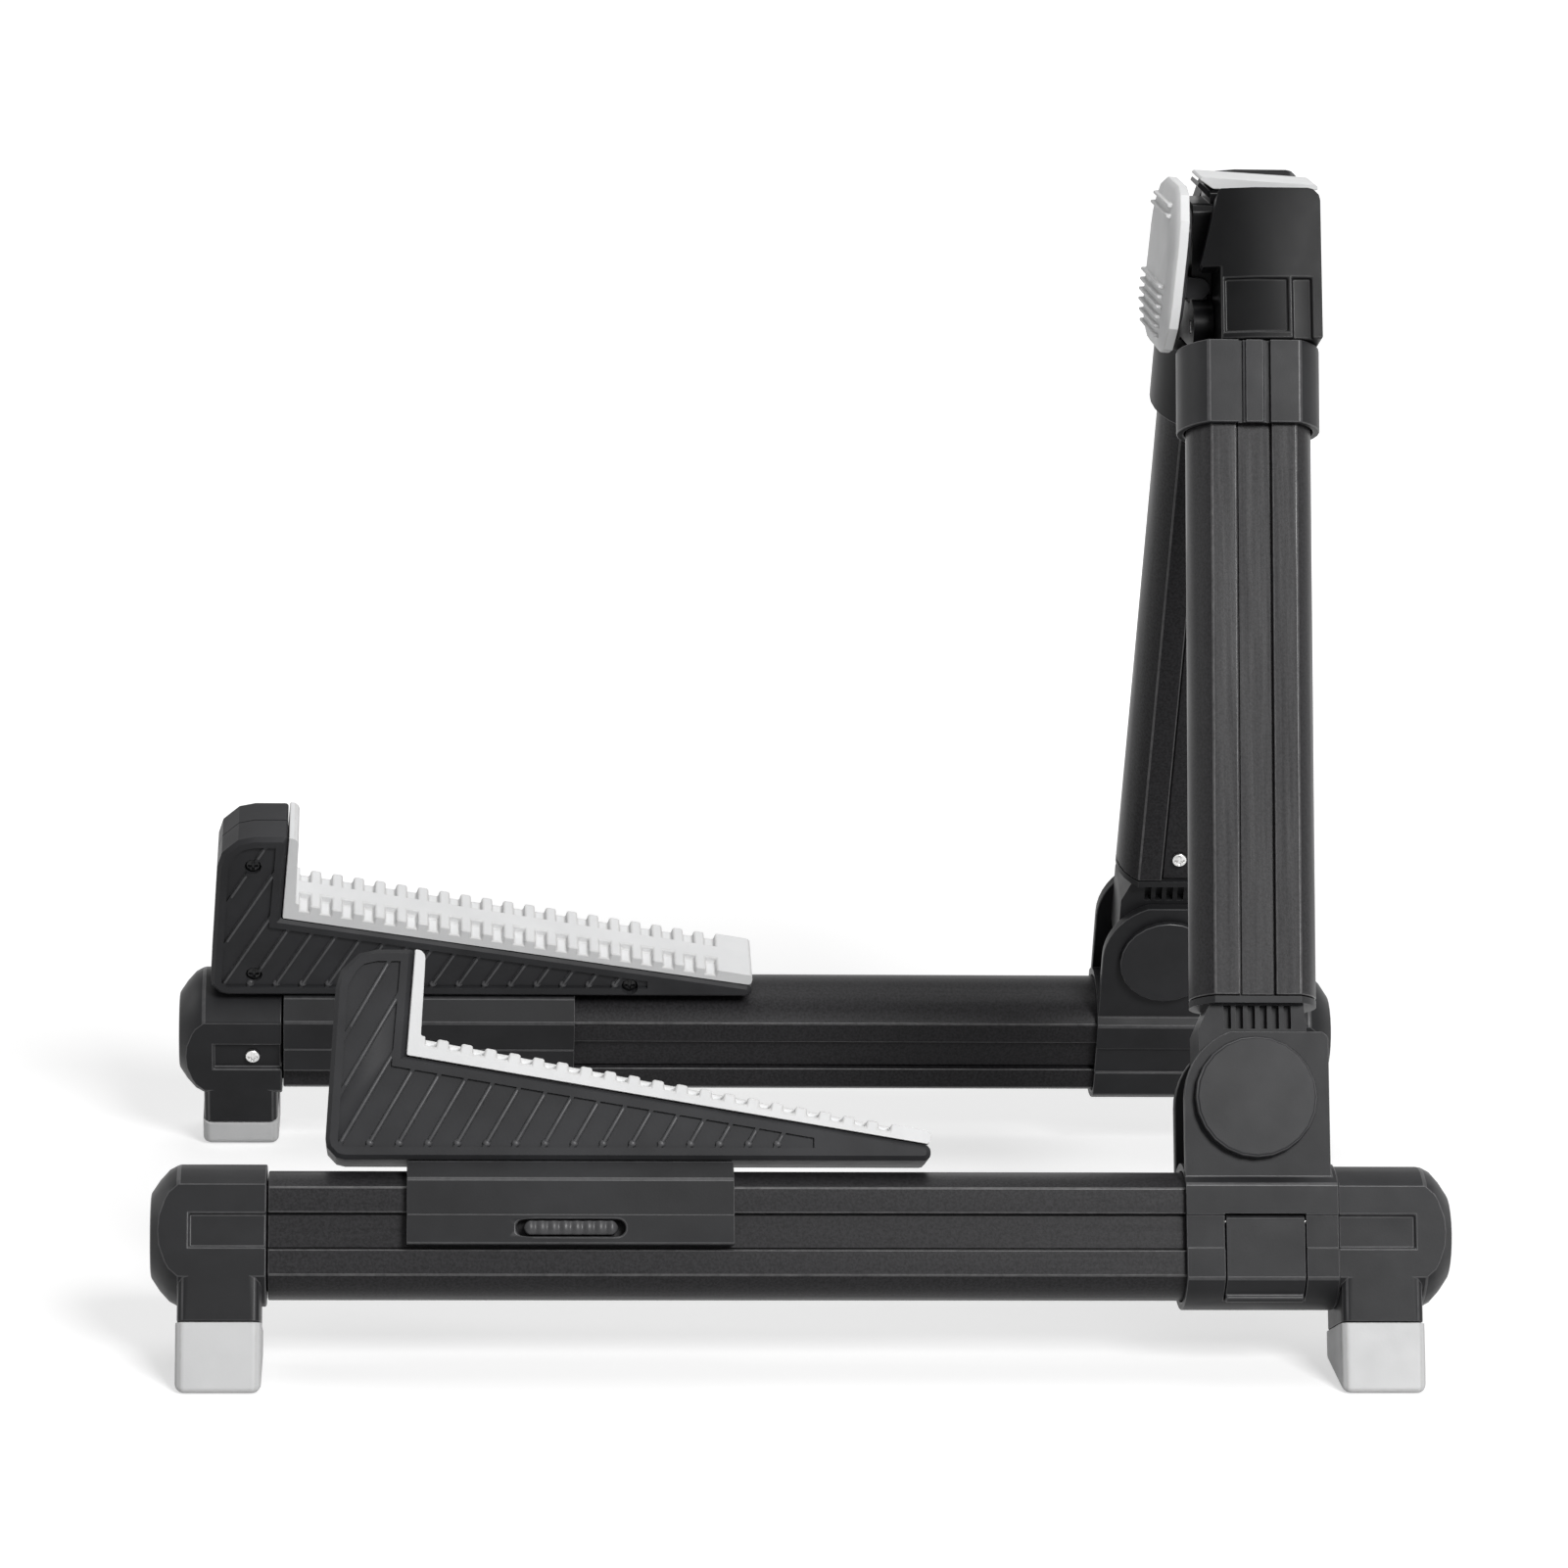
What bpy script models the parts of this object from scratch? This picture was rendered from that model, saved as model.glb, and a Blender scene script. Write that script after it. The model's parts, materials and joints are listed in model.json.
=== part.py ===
"""Folding guitar stand: two mirrored legs hinged under one head, each a base tube and an upright."""

import math

import bmesh
import bpy
from mathutils import Matrix, Vector

# Frame: metres, +Z up, X along the base tubes with the uprights at +X, Y across, floor at Z 0.
# Each leg is built in its own frame (x, n, u): n points out of the stand, u up along the upright.

# The stand as a whole
LENGTH = 0.300
AXIS_SPACING = 0.196
AXIS_HEIGHT = 0.0303
LEAN = math.radians(21.5)
GAP = 0.0003

# Tubes: a round section with two flats and a channel in each flat
TUBE_RADIUS = 0.01485
TUBE_FLAT = 0.0109
TUBE_WALL = 0.0020
CHANNEL_HALF = 0.0042
CHANNEL_DEPTH = 0.0012
SPIGOT_LENGTH = 0.0130

# Bracket, fork and pivot
PIVOT_SETBACK = 0.0455
PIVOT_HEIGHT = 0.0311
UPRIGHT_OFFSET = 0.0012
UPRIGHT_RAKE = math.radians(0.55)
SLEEVE_LENGTH = 0.0353
SLEEVE_RADIUS = 0.0170
SLEEVE_FLAT = 0.0130
SLEEVE_CHANNEL_HALF = 0.0038
SLEEVE_CHANNEL_DEPTH = 0.0006
CHEEK_OUTER = 0.0111
CHEEK_THICKNESS = 0.0026
CHEEK_RADIUS = 0.0165
CHEEK_FLAT_TOP = 0.0155
CHEEK_CORNER = 0.0012
STOP_WALL = 0.0044
PIVOT_PIN_RADIUS = 0.0030
OUTER_DISC_RADIUS = 0.0142
OUTER_DISC_THICKNESS = 0.0027
INNER_DISC_RADIUS = 0.0122
INNER_DISC_THICKNESS = 0.0016
DISC_EDGE = 0.3

# Release lever
LEVER_AHEAD = 0.0074
LEVER_BEHIND = 0.0108
LEVER_AXIS_N = 0.0114
LEVER_AXIS_U = 0.0024
LEVER_BARREL = 0.0014
LEVER_FOOT = math.radians(-64)
LEVER_LIP = 0.0010
LEVER_PIN_RADIUS = 0.0005
LEVER_PIN_OVERHANG = 0.0022

# Knuckle
TONGUE_RADIUS = 0.0126
FLANGE_TOP = 0.0550
FLANGE_THICKNESS = 0.0016
SHOULDER_HEIGHT = 0.0060
SHOULDER_TAPER = 0.0018
POCKET_COUNT = 6
POCKET_PITCH = 0.0028
POCKET_WIDTH = 0.0017
POCKET_HEIGHT = 0.0058
POCKET_DEPTH = 0.0020

# Upright top: collar and head fitting
COLLAR_TOP = 0.2110
COLLAR_LENGTH = 0.0200
COLLAR_OVERLAP = 0.0140
COLLAR_CHANNEL_HALF = 0.0027
COLLAR_GROOVE = 0.0007
COLLAR_GROOVE_WIDTH = 0.0011
BLOCK_RISE = 0.0295
BLOCK_AHEAD = 0.0049
BLOCK_BEHIND = 0.0190
BLOCK_CREASE_BEHIND = 0.0035
BLOCK_OUTER = 0.0130
BLOCK_INNER = 0.0090
BLOCK_FLARE = 0.0046
BLOCK_FLARE_HEIGHT = 0.0190
BLOCK_FLARE_INNER = 0.0050
BLOCK_FLARE_TOP_CORNER = 0.0008
BLOCK_FLARE_LOW_CORNER = 0.0006
BLOCK_FACET = math.radians(10.5)
BLOCK_CORNER = 0.0030
PANEL_DEPTH = 0.0012
PANEL_FRONT_RIM = 0.0010
PANEL_BACK_RIM = 0.0081
PANEL_RISE = 0.0075
PANEL_SILL = 0.0018
STRIP_RIB = 0.0011
STRIP_BACK_RIM = 0.0025

# Head: hinge pins along X, yoke, top pad
PIN_RISE = 0.0075
PIN_INSET = 0.0060
HINGE_PIN_RADIUS = 0.0015
EAR_RADIUS = 0.0065
EAR_NECK = 0.0050
FRONT_EAR_LENGTH = 0.0048
REAR_EAR_LENGTH = 0.0050
YOKE_HALF = 0.0085
YOKE_BELOW_PIN = 0.0052
YOKE_ABOVE_PIN = 0.0323
YOKE_CORNER = 0.0012
YOKE_PLATE_HALF = 0.0110
YOKE_PLATE_LOW_CORNER = 0.0008
YOKE_PLATE_TOP_CORNER = 0.0030
YOKE_PLATE_ABOVE_PIN = 0.0072
YOKE_PLATE_DROP = 0.0032
LIP_LENGTH = 0.0036
LIP_RISE = 0.0017
LIP_ROOT = 0.0018
LIP_DROP = 0.0008
LIP_TIP = 0.0009
LIP_INSET = 0.0015
TOP_PAD_FRONT = 0.0031
TOP_PAD_REAR = 0.0012
TOP_PAD_NOSE = 0.0032
TOP_PAD_CORNER = 0.0006
TOP_PAD_OVERHANG = 0.0010

# Back pad on its rocking carrier
ROCKER_AHEAD = 0.0034
ROCKER_RISE = 0.0093
ROCKER_PIN_RADIUS = 0.0013
ROCKER_BOSS = 0.0024
PAD_TILT = math.radians(4.5)
CARRIER_SETBACK = 0.0036
CARRIER_THICKNESS = 0.0012
CARRIER_HALF_WIDTH = 0.0170
CARRIER_LOW = -0.0125
CARRIER_HIGH = 0.0190
CARRIER_CORNER = 0.0090
LUG_THICKNESS = 0.0024
LUG_SKIN = 0.0007
PAD_HALF_WIDTH = 0.0230
PAD_LOW = -0.0164
PAD_HIGH = 0.0237
PAD_CORNER = 0.0130
PAD_EDGE = 0.0022
PAD_CROWN = 0.0022
PAD_CROWN_STEPS = ((0.0, 0.0), (0.12, 0.45), (0.45, 0.85), (1.0, 1.0))
PAD_SHOULDER = 0.0100
PAD_RIB = 0.0010
PAD_RIB_ROOT = 0.0016
PAD_RIB_WIDTH = 0.0013
PAD_RIB_PITCH = 0.0024
PAD_RIB_MARGIN = 0.0045
PAD_RIB_FALL = 0.10
PAD_RIB_SHORTENING = 0.6
PAD_RIBS_LOW = 6
PAD_RIBS_HIGH = 2
PAD_RIB_HALF_LENGTH = 0.0180

# End caps, foot legs and boots
FRONT_CAP_LENGTH = 0.0266
REAR_CAP_LENGTH = 0.0268
CAP_RADIUS = 0.0164
CAP_FLAT = 0.0124
CAP_NOSE_LENGTH = 0.0065
CAP_NOSE_RADIUS = 0.0096
CAP_NOSE_POWER = 1.6
CAP_CHANNEL_HALF = 0.0038
CAP_CHANNEL_STOP = 0.0090
FRONT_FOOT_INSET = 0.0064
REAR_FOOT_INSET = 0.0074
FOOT_LENGTH = 0.0190
FOOT_CORNER = 0.0022
FOOT_BOTTOM = 0.0207
FOOT_STUB = 0.0038
FOOT_STUB_INSET = 0.0022
FOOT_STUB_CORNER = 0.0010
BOOT_HALF = 0.0127
CAP_SCREW_SETBACK = 0.0191

# Cradle, measured from its saddle's hook end
RIGHT_CRADLE_INSET = 0.0586
LEFT_CRADLE_INSET = 0.0271
SADDLE_LENGTH = 0.0750
SADDLE_HALF = 0.0140
SADDLE_LEDGE = 0.0118
SADDLE_SKIRT = 0.0033
SADDLE_STEP = 0.0035
SADDLE_STEP_DEPTH = 0.0004
SADDLE_RIB_HALF = 0.0032
SADDLE_RIB_DEPTH = 0.0010
ARM_HALF = 0.0088
ARM_EDGE = 0.0010
ARM_LIFT = 0.0019
ARM_OVERHANG = 0.0190
ARM_LENGTH = 0.1397
HOOK_HEIGHT = 0.0487
HOOK_TOP_WIDTH = 0.0174
HOOK_LEAN = 0.0029
HOOK_CORNER = 0.0095
HOOK_TOP_CORNER = 0.0008
ARM_CORNER = 0.0045
ARM_TIP_CORNER = 0.0015
SHELF_START = -0.0006
SHELF_HEIGHT = 0.0239
SHELF_TIP_HEIGHT = 0.0034
ARM_RIM = 0.0028
ARM_PANEL_DEPTH = 0.0008
ARM_PANEL_TIP = 0.0270
ARM_RIB_PITCH = 0.0067
ARM_RIB_WIDTH = 0.0009
ARM_RIB_ANGLE = math.radians(60.0)
ARM_RIB_FIRST = 0.0032
ARM_RIB_COUNT = 16
HOOK_RIB_COUNT = 7
CRADLE_PAD_HALF = 0.0084
HOOK_PAD_THICKNESS = 0.0025
SHELF_PAD_THICKNESS = 0.0047
SHELF_PAD_TIP = 0.0030
SHELF_PAD_LOW_CORNER = 0.0008
SHELF_PAD_TIP_CORNER = 0.0012
SHELF_PAD_ROOT_CORNER = 0.0006
HOOK_PAD_CORNER = 0.0018
GRIP_COUNT = 20
GRIP_PITCH = 0.0056
GRIP_START = 0.45
GRIP_WIDTH = 0.0030
GRIP_DEPTH = 0.0017
GRIP_FLOOR = 0.0013
GRIP_DRAFT = 1.2
GRIP_BAND_HALF = 0.0028

# Thumb lock in the saddle's outer skirt
LOCK_SLOT_LENGTH = 0.0250
LOCK_SLOT_TOP = 0.0024
LOCK_SLOT_BOTTOM = 0.0014
LOCK_TRAVEL = 0.0030
LOCK_PROUD = 0.0003
LOCK_RIDGE = 0.0005
LOCK_RIDGE_COUNT = 8
LOCK_RIDGE_FOOT = 0.05
LOCK_RIDGE_TOP = 0.30

# Screws
SCREW_HEAD_RADIUS = 0.0019
SCREW_HEAD_HEIGHT = 0.0011
SCREW_CROWN_RADIUS = 0.0012
SCREW_RIM_HEIGHT = 0.0005
SCREW_RADIUS = 0.0009
SCREW_LENGTH = 0.0060
HOOK_SCREW_INSET = 0.0114
HOOK_SCREW_HIGH = 0.0397
HOOK_SCREW_LOW = 0.0063
TIP_SCREW_BEYOND = 0.0141
TIP_SCREW_HEIGHT = 0.0031

# Fineness of round shapes
ARC_STEPS = 9
ROUND_STEPS = 24
SMALL_STEPS = 10
CORNER_STEPS = 3
NOSE_STEPS = 3

# Faces that meet at less than this angle are shaded as one
SMOOTH_ANGLE = math.radians(32)
GUIDE_SIZE = 0.01

# Colour, roughness and metallic value of each finish
FINISHES = {
    "anodised": ((0.020, 0.020, 0.021, 1), 0.42, 0.85),
    "black_plastic": ((0.018, 0.018, 0.019, 1), 0.48, 0.0),
    "pale_rubber": ((0.78, 0.78, 0.77, 1), 0.70, 0.0),
    "silver_steel": ((0.72, 0.72, 0.71, 1), 0.25, 1.0),
}

# Places along the stand that follow from the sizes above
HALF_LENGTH = LENGTH / 2
HALF_SPACING = AXIS_SPACING / 2
FRONT_CAP_START = HALF_LENGTH - FRONT_CAP_LENGTH
SLEEVE_END = HALF_LENGTH - REAR_CAP_LENGTH
SLEEVE_START = SLEEVE_END - SLEEVE_LENGTH
PIVOT_X = HALF_LENGTH - PIVOT_SETBACK
LEVER_START = PIVOT_X - LEVER_AHEAD
LEVER_END = PIVOT_X + LEVER_BEHIND
STOP_FACE = PIVOT_X + TONGUE_RADIUS + GAP
STOP_BACK = STOP_FACE + STOP_WALL
BLOCK_FRONT = PIVOT_X - BLOCK_AHEAD
BLOCK_BACK = PIVOT_X + BLOCK_BEHIND
BLOCK_CREASE = PIVOT_X + BLOCK_CREASE_BEHIND
YOKE_FACE = BLOCK_FRONT - GAP
YOKE_FRONT = YOKE_FACE - FRONT_EAR_LENGTH
ROCKER_X = BLOCK_FRONT - ROCKER_AHEAD
RIGHT_CRADLE_X = RIGHT_CRADLE_INSET - HALF_LENGTH
LEFT_CRADLE_X = LEFT_CRADLE_INSET - HALF_LENGTH
LOCK_MIDDLE = SADDLE_LENGTH / 2

# Places along a leg
BORE_RADIUS = TUBE_RADIUS - TUBE_WALL
BORE_FLAT = TUBE_FLAT - CHANNEL_DEPTH - TUBE_WALL
CHEEK_INNER = CHEEK_OUTER - CHEEK_THICKNESS
TONGUE_HALF = CHEEK_INNER - GAP
CHEEK_TOP = PIVOT_HEIGHT + CHEEK_FLAT_TOP
ARM_BOTTOM = TUBE_RADIUS + ARM_LIFT
COLLAR_BOTTOM = COLLAR_TOP - COLLAR_LENGTH
TUBE_TOP = COLLAR_BOTTOM + COLLAR_OVERLAP
PIN_HEIGHT_ON_LEG = COLLAR_TOP + PIN_RISE
BLOCK_TOP = PIN_HEIGHT_ON_LEG + BLOCK_RISE
BLOCK_FLARE_BOTTOM = BLOCK_TOP - BLOCK_FLARE_HEIGHT

# Heights and half widths in the head
HINGE_HALF = HALF_SPACING - PIN_HEIGHT_ON_LEG * math.sin(LEAN) - PIN_INSET * math.cos(LEAN)
HINGE_HEIGHT = AXIS_HEIGHT + PIN_HEIGHT_ON_LEG * math.cos(LEAN) - PIN_INSET * math.sin(LEAN)
YOKE_BOTTOM = HINGE_HEIGHT - YOKE_BELOW_PIN
YOKE_TOP = HINGE_HEIGHT + YOKE_ABOVE_PIN
YOKE_PLATE_BOTTOM = HINGE_HEIGHT + YOKE_PLATE_ABOVE_PIN
YOKE_PLATE_TOP = YOKE_TOP - YOKE_PLATE_DROP
ROCKER_HEIGHT = HINGE_HEIGHT + ROCKER_RISE

SIDES = {"right": -1, "left": 1}


# Outlines

def arc(centre_a, centre_b, radius, start, end, steps=ARC_STEPS):
    """Points along an arc, both ends included, angles in radians."""
    points = []
    for step in range(steps + 1):
        angle = start + (end - start) * step / steps
        points.append((centre_a + radius * math.cos(angle), centre_b + radius * math.sin(angle)))
    return points


def rounded(corners, radii, steps=CORNER_STEPS):
    """The polygon through the corners, each corner rounded by its radius (0 leaves it sharp)."""
    points = []
    count = len(corners)
    for index, radius in enumerate(radii):
        corner = Vector(corners[index])
        before = (Vector(corners[index - 1]) - corner).normalized()
        after = (Vector(corners[(index + 1) % count]) - corner).normalized()
        if radius <= 0:
            points.append(tuple(corner))
            continue
        half = before.angle(after) / 2
        reach = radius / math.tan(half)
        centre = corner + (before + after).normalized() * (radius / math.sin(half))
        start = corner + before * reach - centre
        end = corner + after * reach - centre
        for step in range(steps + 1):
            spoke = start.lerp(end, step / steps).normalized() * radius
            points.append(tuple(centre + spoke))
    return points


def moved_in(corners, distances):
    """The counter-clockwise polygon with each edge moved inwards by its own distance."""
    lines = []
    count = len(corners)
    for index, distance in enumerate(distances):
        start = Vector(corners[index])
        along = (Vector(corners[(index + 1) % count]) - start).normalized()
        inward = Vector((-along.y, along.x))
        lines.append((start + inward * distance, along))
    points = []
    for index in range(count):
        first, first_along = lines[index - 1]
        second, second_along = lines[index]
        turn = first_along.x * second_along.y - first_along.y * second_along.x
        offset = second - first
        reach = (offset.x * second_along.y - offset.y * second_along.x) / turn
        points.append(tuple(first + first_along * reach))
    return points


def tube_section(radius, flat, channel_half=0.0, channel_depth=0.0):
    """A circle with a flat at each end of the first coordinate, and a channel in each flat."""
    start = math.acos(flat / radius)
    top = arc(0, 0, radius, start, math.pi - start)
    bottom = arc(0, 0, radius, math.pi + start, 2 * math.pi - start)
    if not channel_depth:
        return top + bottom
    floor = flat - channel_depth
    left = [(-flat, channel_half), (-floor, channel_half), (-floor, -channel_half), (-flat, -channel_half)]
    right = [(flat, -channel_half), (floor, -channel_half), (floor, channel_half), (flat, channel_half)]
    return top + left + bottom + right


def upright_x(u):
    """Where the upright's axis is at height u; it rakes slightly backwards."""
    return PIVOT_X + UPRIGHT_OFFSET + (u - FLANGE_TOP) * math.tan(UPRIGHT_RAKE)


def along_upright(section, low, high):
    """A prism of the section up the leg, turned to face it and centred on the raked upright."""
    rings = []
    for u in (low, high):
        rings.append(([(upright_x(u) + b, a) for a, b in section], u))
    return lofted(rings, "u")


def rectangle(a0, a1, b0, b1, corner=0.0):
    """A rectangle, with rounded corners if a corner radius is given."""
    return rounded([(a0, b0), (a1, b0), (a1, b1), (a0, b1)], [corner] * 4)


# Solids, each a mesh whose faces point out

def mesh_from(build):
    """A new mesh filled by the given function, its faces turned outwards."""
    body = bmesh.new()
    build(body)
    bmesh.ops.recalc_face_normals(body, faces=body.faces)
    mesh = bpy.data.meshes.new("solid")
    body.to_mesh(mesh)
    body.free()
    return mesh


def along(axis, a, b, depth):
    """The point at the outline's (a, b) and at the given depth along the axis x, n or u."""
    if axis == "x":
        return (depth, a, b)
    if axis == "n":
        return (a, depth, b)
    return (a, b, depth)


def prism(outline, low, high, axis):
    """The outline pulled along an axis; it lies in (n, u) for x, (x, u) for n and (x, n) for u."""
    return lofted([(outline, low), (outline, high)], axis)


def lofted(rings, axis):
    """A solid through outlines of equal point counts, each at its own depth along the axis."""
    def build(body):
        loops = []
        for outline, depth in rings:
            loops.append([body.verts.new(along(axis, a, b, depth)) for a, b in outline])
        body.faces.new(loops[0])
        body.faces.new(loops[-1])
        count = len(loops[0])
        for lower, upper in zip(loops, loops[1:]):
            for index in range(count):
                following = (index + 1) % count
                body.faces.new((lower[index], lower[following], upper[following], upper[index]))
    return mesh_from(build)


def turned(profile, axis, centre, steps=ROUND_STEPS):
    """A turned solid: the profile's (radius, depth) rings round the line through the centre."""
    rings = []
    for radius, depth in profile:
        ring = arc(centre[0], centre[1], radius, 0, 2 * math.pi, steps)[:-1]
        rings.append((ring, depth))
    return lofted(rings, axis)


def rod(radius, low, high, axis, centre, steps=SMALL_STEPS):
    """A round rod along an axis."""
    return turned([(radius, low), (radius, high)], axis, centre, steps)


def box(x0, x1, n0, n1, u0, u1):
    """A plain block."""
    return prism([(x0, n0), (x1, n0), (x1, n1), (x0, n1)], u0, u1, "u")


def gathered(meshes):
    """Separate solids in one mesh, left as separate bodies."""
    body = bmesh.new()
    for mesh in meshes:
        body.from_mesh(mesh)
    whole = bpy.data.meshes.new("group")
    body.to_mesh(whole)
    body.free()
    return whole


def combined(first, second, operation):
    """The Boolean of two meshes as a new mesh."""
    target = bpy.data.objects.new("target", first)
    tool = bpy.data.objects.new("tool", second)
    bpy.context.scene.collection.objects.link(target)
    bpy.context.scene.collection.objects.link(tool)
    modifier = target.modifiers.new("boolean", "BOOLEAN")
    modifier.operation = operation
    modifier.solver = "EXACT"
    modifier.object = tool
    depsgraph = bpy.context.evaluated_depsgraph_get()
    result = bpy.data.meshes.new_from_object(target.evaluated_get(depsgraph))
    bpy.data.objects.remove(target)
    bpy.data.objects.remove(tool)
    return result


def cut(mesh, *tools):
    """The mesh less each tool."""
    for tool in tools:
        mesh = combined(mesh, tool, "DIFFERENCE")
    return mesh


def joined(mesh, *others):
    """The meshes made into one body."""
    for other in others:
        mesh = combined(mesh, other, "UNION")
    return mesh


def common(mesh, other):
    """What both meshes share."""
    return combined(mesh, other, "INTERSECT")


def screw(x, u, face, depth_sign, length=SCREW_LENGTH):
    """A pan head screw along n whose head sits on the face; depth_sign points out of the face."""
    under = face + depth_sign * GAP
    crown = under + depth_sign * SCREW_HEAD_HEIGHT
    profile = [
        (SCREW_RADIUS, face - depth_sign * length),
        (SCREW_RADIUS, under),
        (SCREW_HEAD_RADIUS, under),
        (SCREW_HEAD_RADIUS, under + depth_sign * SCREW_RIM_HEIGHT),
        (SCREW_CROWN_RADIUS, crown),
    ]
    return turned(profile, "n", (x, u), SMALL_STEPS)


def screw_hole(x, u, face, depth_sign, length=SCREW_LENGTH):
    """The hole that a screw's shank runs in, a clearance wider and longer."""
    return rod(SCREW_RADIUS + GAP, face - depth_sign * (length + 2 * GAP), face + depth_sign * 2 * GAP,
               "n", (x, u), SMALL_STEPS)


# Tubes

def tube_outline():
    """The extrusion's outer section."""
    return tube_section(TUBE_RADIUS, TUBE_FLAT, CHANNEL_HALF, CHANNEL_DEPTH)


def bore_outline(clearance=0.0):
    """The extrusion's bore, or the plug that fits it with a clearance."""
    return tube_section(BORE_RADIUS - clearance, BORE_FLAT - clearance)


def base_tube():
    """The tube along the floor, between the two end caps, hollow and open at both ends."""
    low = GAP - FRONT_CAP_START
    high = SLEEVE_END - GAP
    return cut(prism(tube_outline(), low, high, "x"), prism(bore_outline(), low - GAP, high + GAP, "x"))


def upright_tube():
    """The tube that stands on the knuckle, with the hole for the knuckle's screw."""
    low = FLANGE_TOP + GAP
    x, u = knuckle_screw_place()
    return cut(
        along_upright(tube_outline(), low, TUBE_TOP),
        along_upright(bore_outline(), low - GAP, TUBE_TOP + GAP),
        screw_hole(x, u, GAP - TUBE_FLAT + CHANNEL_DEPTH, -1),
    )


# Bracket and pivot

def cheek(n0, n1):
    """One wall of the fork: round about the pivot in front, with a flat top and a straight back."""
    turn = math.pi - math.asin(CHEEK_FLAT_TOP / CHEEK_RADIUS)
    outline = arc(PIVOT_X, PIVOT_HEIGHT, CHEEK_RADIUS, math.pi, turn)
    outline += [(STOP_BACK - CHEEK_CORNER, CHEEK_TOP), (STOP_BACK, CHEEK_TOP - CHEEK_CORNER)]
    outline += [(STOP_BACK, 0), (PIVOT_X - CHEEK_RADIUS, 0)]
    return prism(outline, n0, n1, "n")


def lever_window():
    """The opening in the sleeve that the release lever fills."""
    foot = LEVER_FOOT - 2 * GAP / SLEEVE_RADIUS
    inner = TUBE_RADIUS - 3 * GAP
    outer = SLEEVE_RADIUS + 3 * LEVER_LIP
    top = LEVER_AXIS_U + LEVER_BARREL + GAP
    outline = [
        (inner * math.cos(foot), top),
        (outer, top),
        (outer, outer * math.sin(foot)),
        (outer * math.cos(foot), outer * math.sin(foot)),
        (inner * math.cos(foot), inner * math.sin(foot)),
    ]
    return prism(outline, LEVER_START - GAP, LEVER_END + GAP, "x")


def lever_pin_line(radius, overhang):
    """A round line along the lever's axis, past both of its ends."""
    return rod(radius, LEVER_START - overhang, LEVER_END + overhang, "x",
               (LEVER_AXIS_N, LEVER_AXIS_U), SMALL_STEPS)


def bracket():
    """Sleeve round the base tube with a fork above it, open to the front and closed by a stop wall."""
    sleeve = prism(tube_section(SLEEVE_RADIUS, SLEEVE_FLAT, SLEEVE_CHANNEL_HALF, SLEEVE_CHANNEL_DEPTH),
                   SLEEVE_START, SLEEVE_END, "x")
    stop = box(STOP_FACE, STOP_BACK, -CHEEK_INNER - GAP, CHEEK_INNER + GAP,
               TUBE_RADIUS / 2, CHEEK_TOP - CHEEK_CORNER)
    body = joined(sleeve, cheek(CHEEK_INNER, CHEEK_OUTER), cheek(-CHEEK_OUTER, -CHEEK_INNER), stop)
    front = min(SLEEVE_START, PIVOT_X - CHEEK_RADIUS)
    bore = prism(tube_section(TUBE_RADIUS + GAP, TUBE_FLAT + GAP), front - GAP, SLEEVE_END + GAP, "x")
    pin_hole = rod(PIVOT_PIN_RADIUS + GAP, -SLEEVE_FLAT, SLEEVE_FLAT, "n", (PIVOT_X, PIVOT_HEIGHT))
    return cut(body, bore, pin_hole, lever_window(),
               lever_pin_line(LEVER_PIN_RADIUS + GAP, LEVER_PIN_OVERHANG + GAP))


def disc(radius, thickness, face, depth_sign):
    """A round cap over the pivot pin with a softened rim."""
    seat = face + depth_sign * GAP
    crown = seat + depth_sign * thickness
    soft = thickness * DISC_EDGE
    profile = [
        (radius, seat),
        (radius, crown - depth_sign * soft),
        (radius - soft / 3, crown - depth_sign * soft / 3),
        (radius - soft, crown),
    ]
    return turned(profile, "n", (PIVOT_X, PIVOT_HEIGHT))


def pivot_pin():
    """The pin through both cheeks and the knuckle's tongue."""
    return rod(PIVOT_PIN_RADIUS, -CHEEK_OUTER, CHEEK_OUTER, "n", (PIVOT_X, PIVOT_HEIGHT))


def release_lever():
    """A curved plate that completes the sleeve's wall, with a hinge barrel above and a lip below."""
    inner_flat = TUBE_FLAT + 2 * GAP
    inner_radius = TUBE_RADIUS + 2 * GAP
    outer_start = -math.acos(SLEEVE_FLAT / SLEEVE_RADIUS)
    inner_start = -math.acos(inner_flat / inner_radius)
    lip_start = LEVER_FOOT + 2 * LEVER_LIP / SLEEVE_RADIUS
    lip_radius = SLEEVE_RADIUS + LEVER_LIP
    outline = arc(LEVER_AXIS_N, LEVER_AXIS_U, LEVER_BARREL, math.pi, 0, CORNER_STEPS * 2)
    outline += arc(0, 0, SLEEVE_RADIUS, outer_start, lip_start, CORNER_STEPS)
    outline += arc(0, 0, lip_radius, lip_start, LEVER_FOOT, 1)
    outline += arc(0, 0, inner_radius, LEVER_FOOT, inner_start, CORNER_STEPS)
    outline.append((inner_flat, LEVER_AXIS_U - LEVER_BARREL))
    outline.append((LEVER_AXIS_N - LEVER_BARREL, LEVER_AXIS_U - GAP))
    plate = prism(outline, LEVER_START, LEVER_END, "x")
    return cut(plate, lever_pin_line(LEVER_PIN_RADIUS + GAP, GAP))


def lever_pin():
    """The thin pin that the release lever turns on."""
    return lever_pin_line(LEVER_PIN_RADIUS, LEVER_PIN_OVERHANG)


# Knuckle

def knuckle_screw_place():
    """Where the knuckle's screw goes through the tube's inner channel."""
    u = FLANGE_TOP + SPIGOT_LENGTH / 2
    return (upright_x(u), u)


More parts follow.
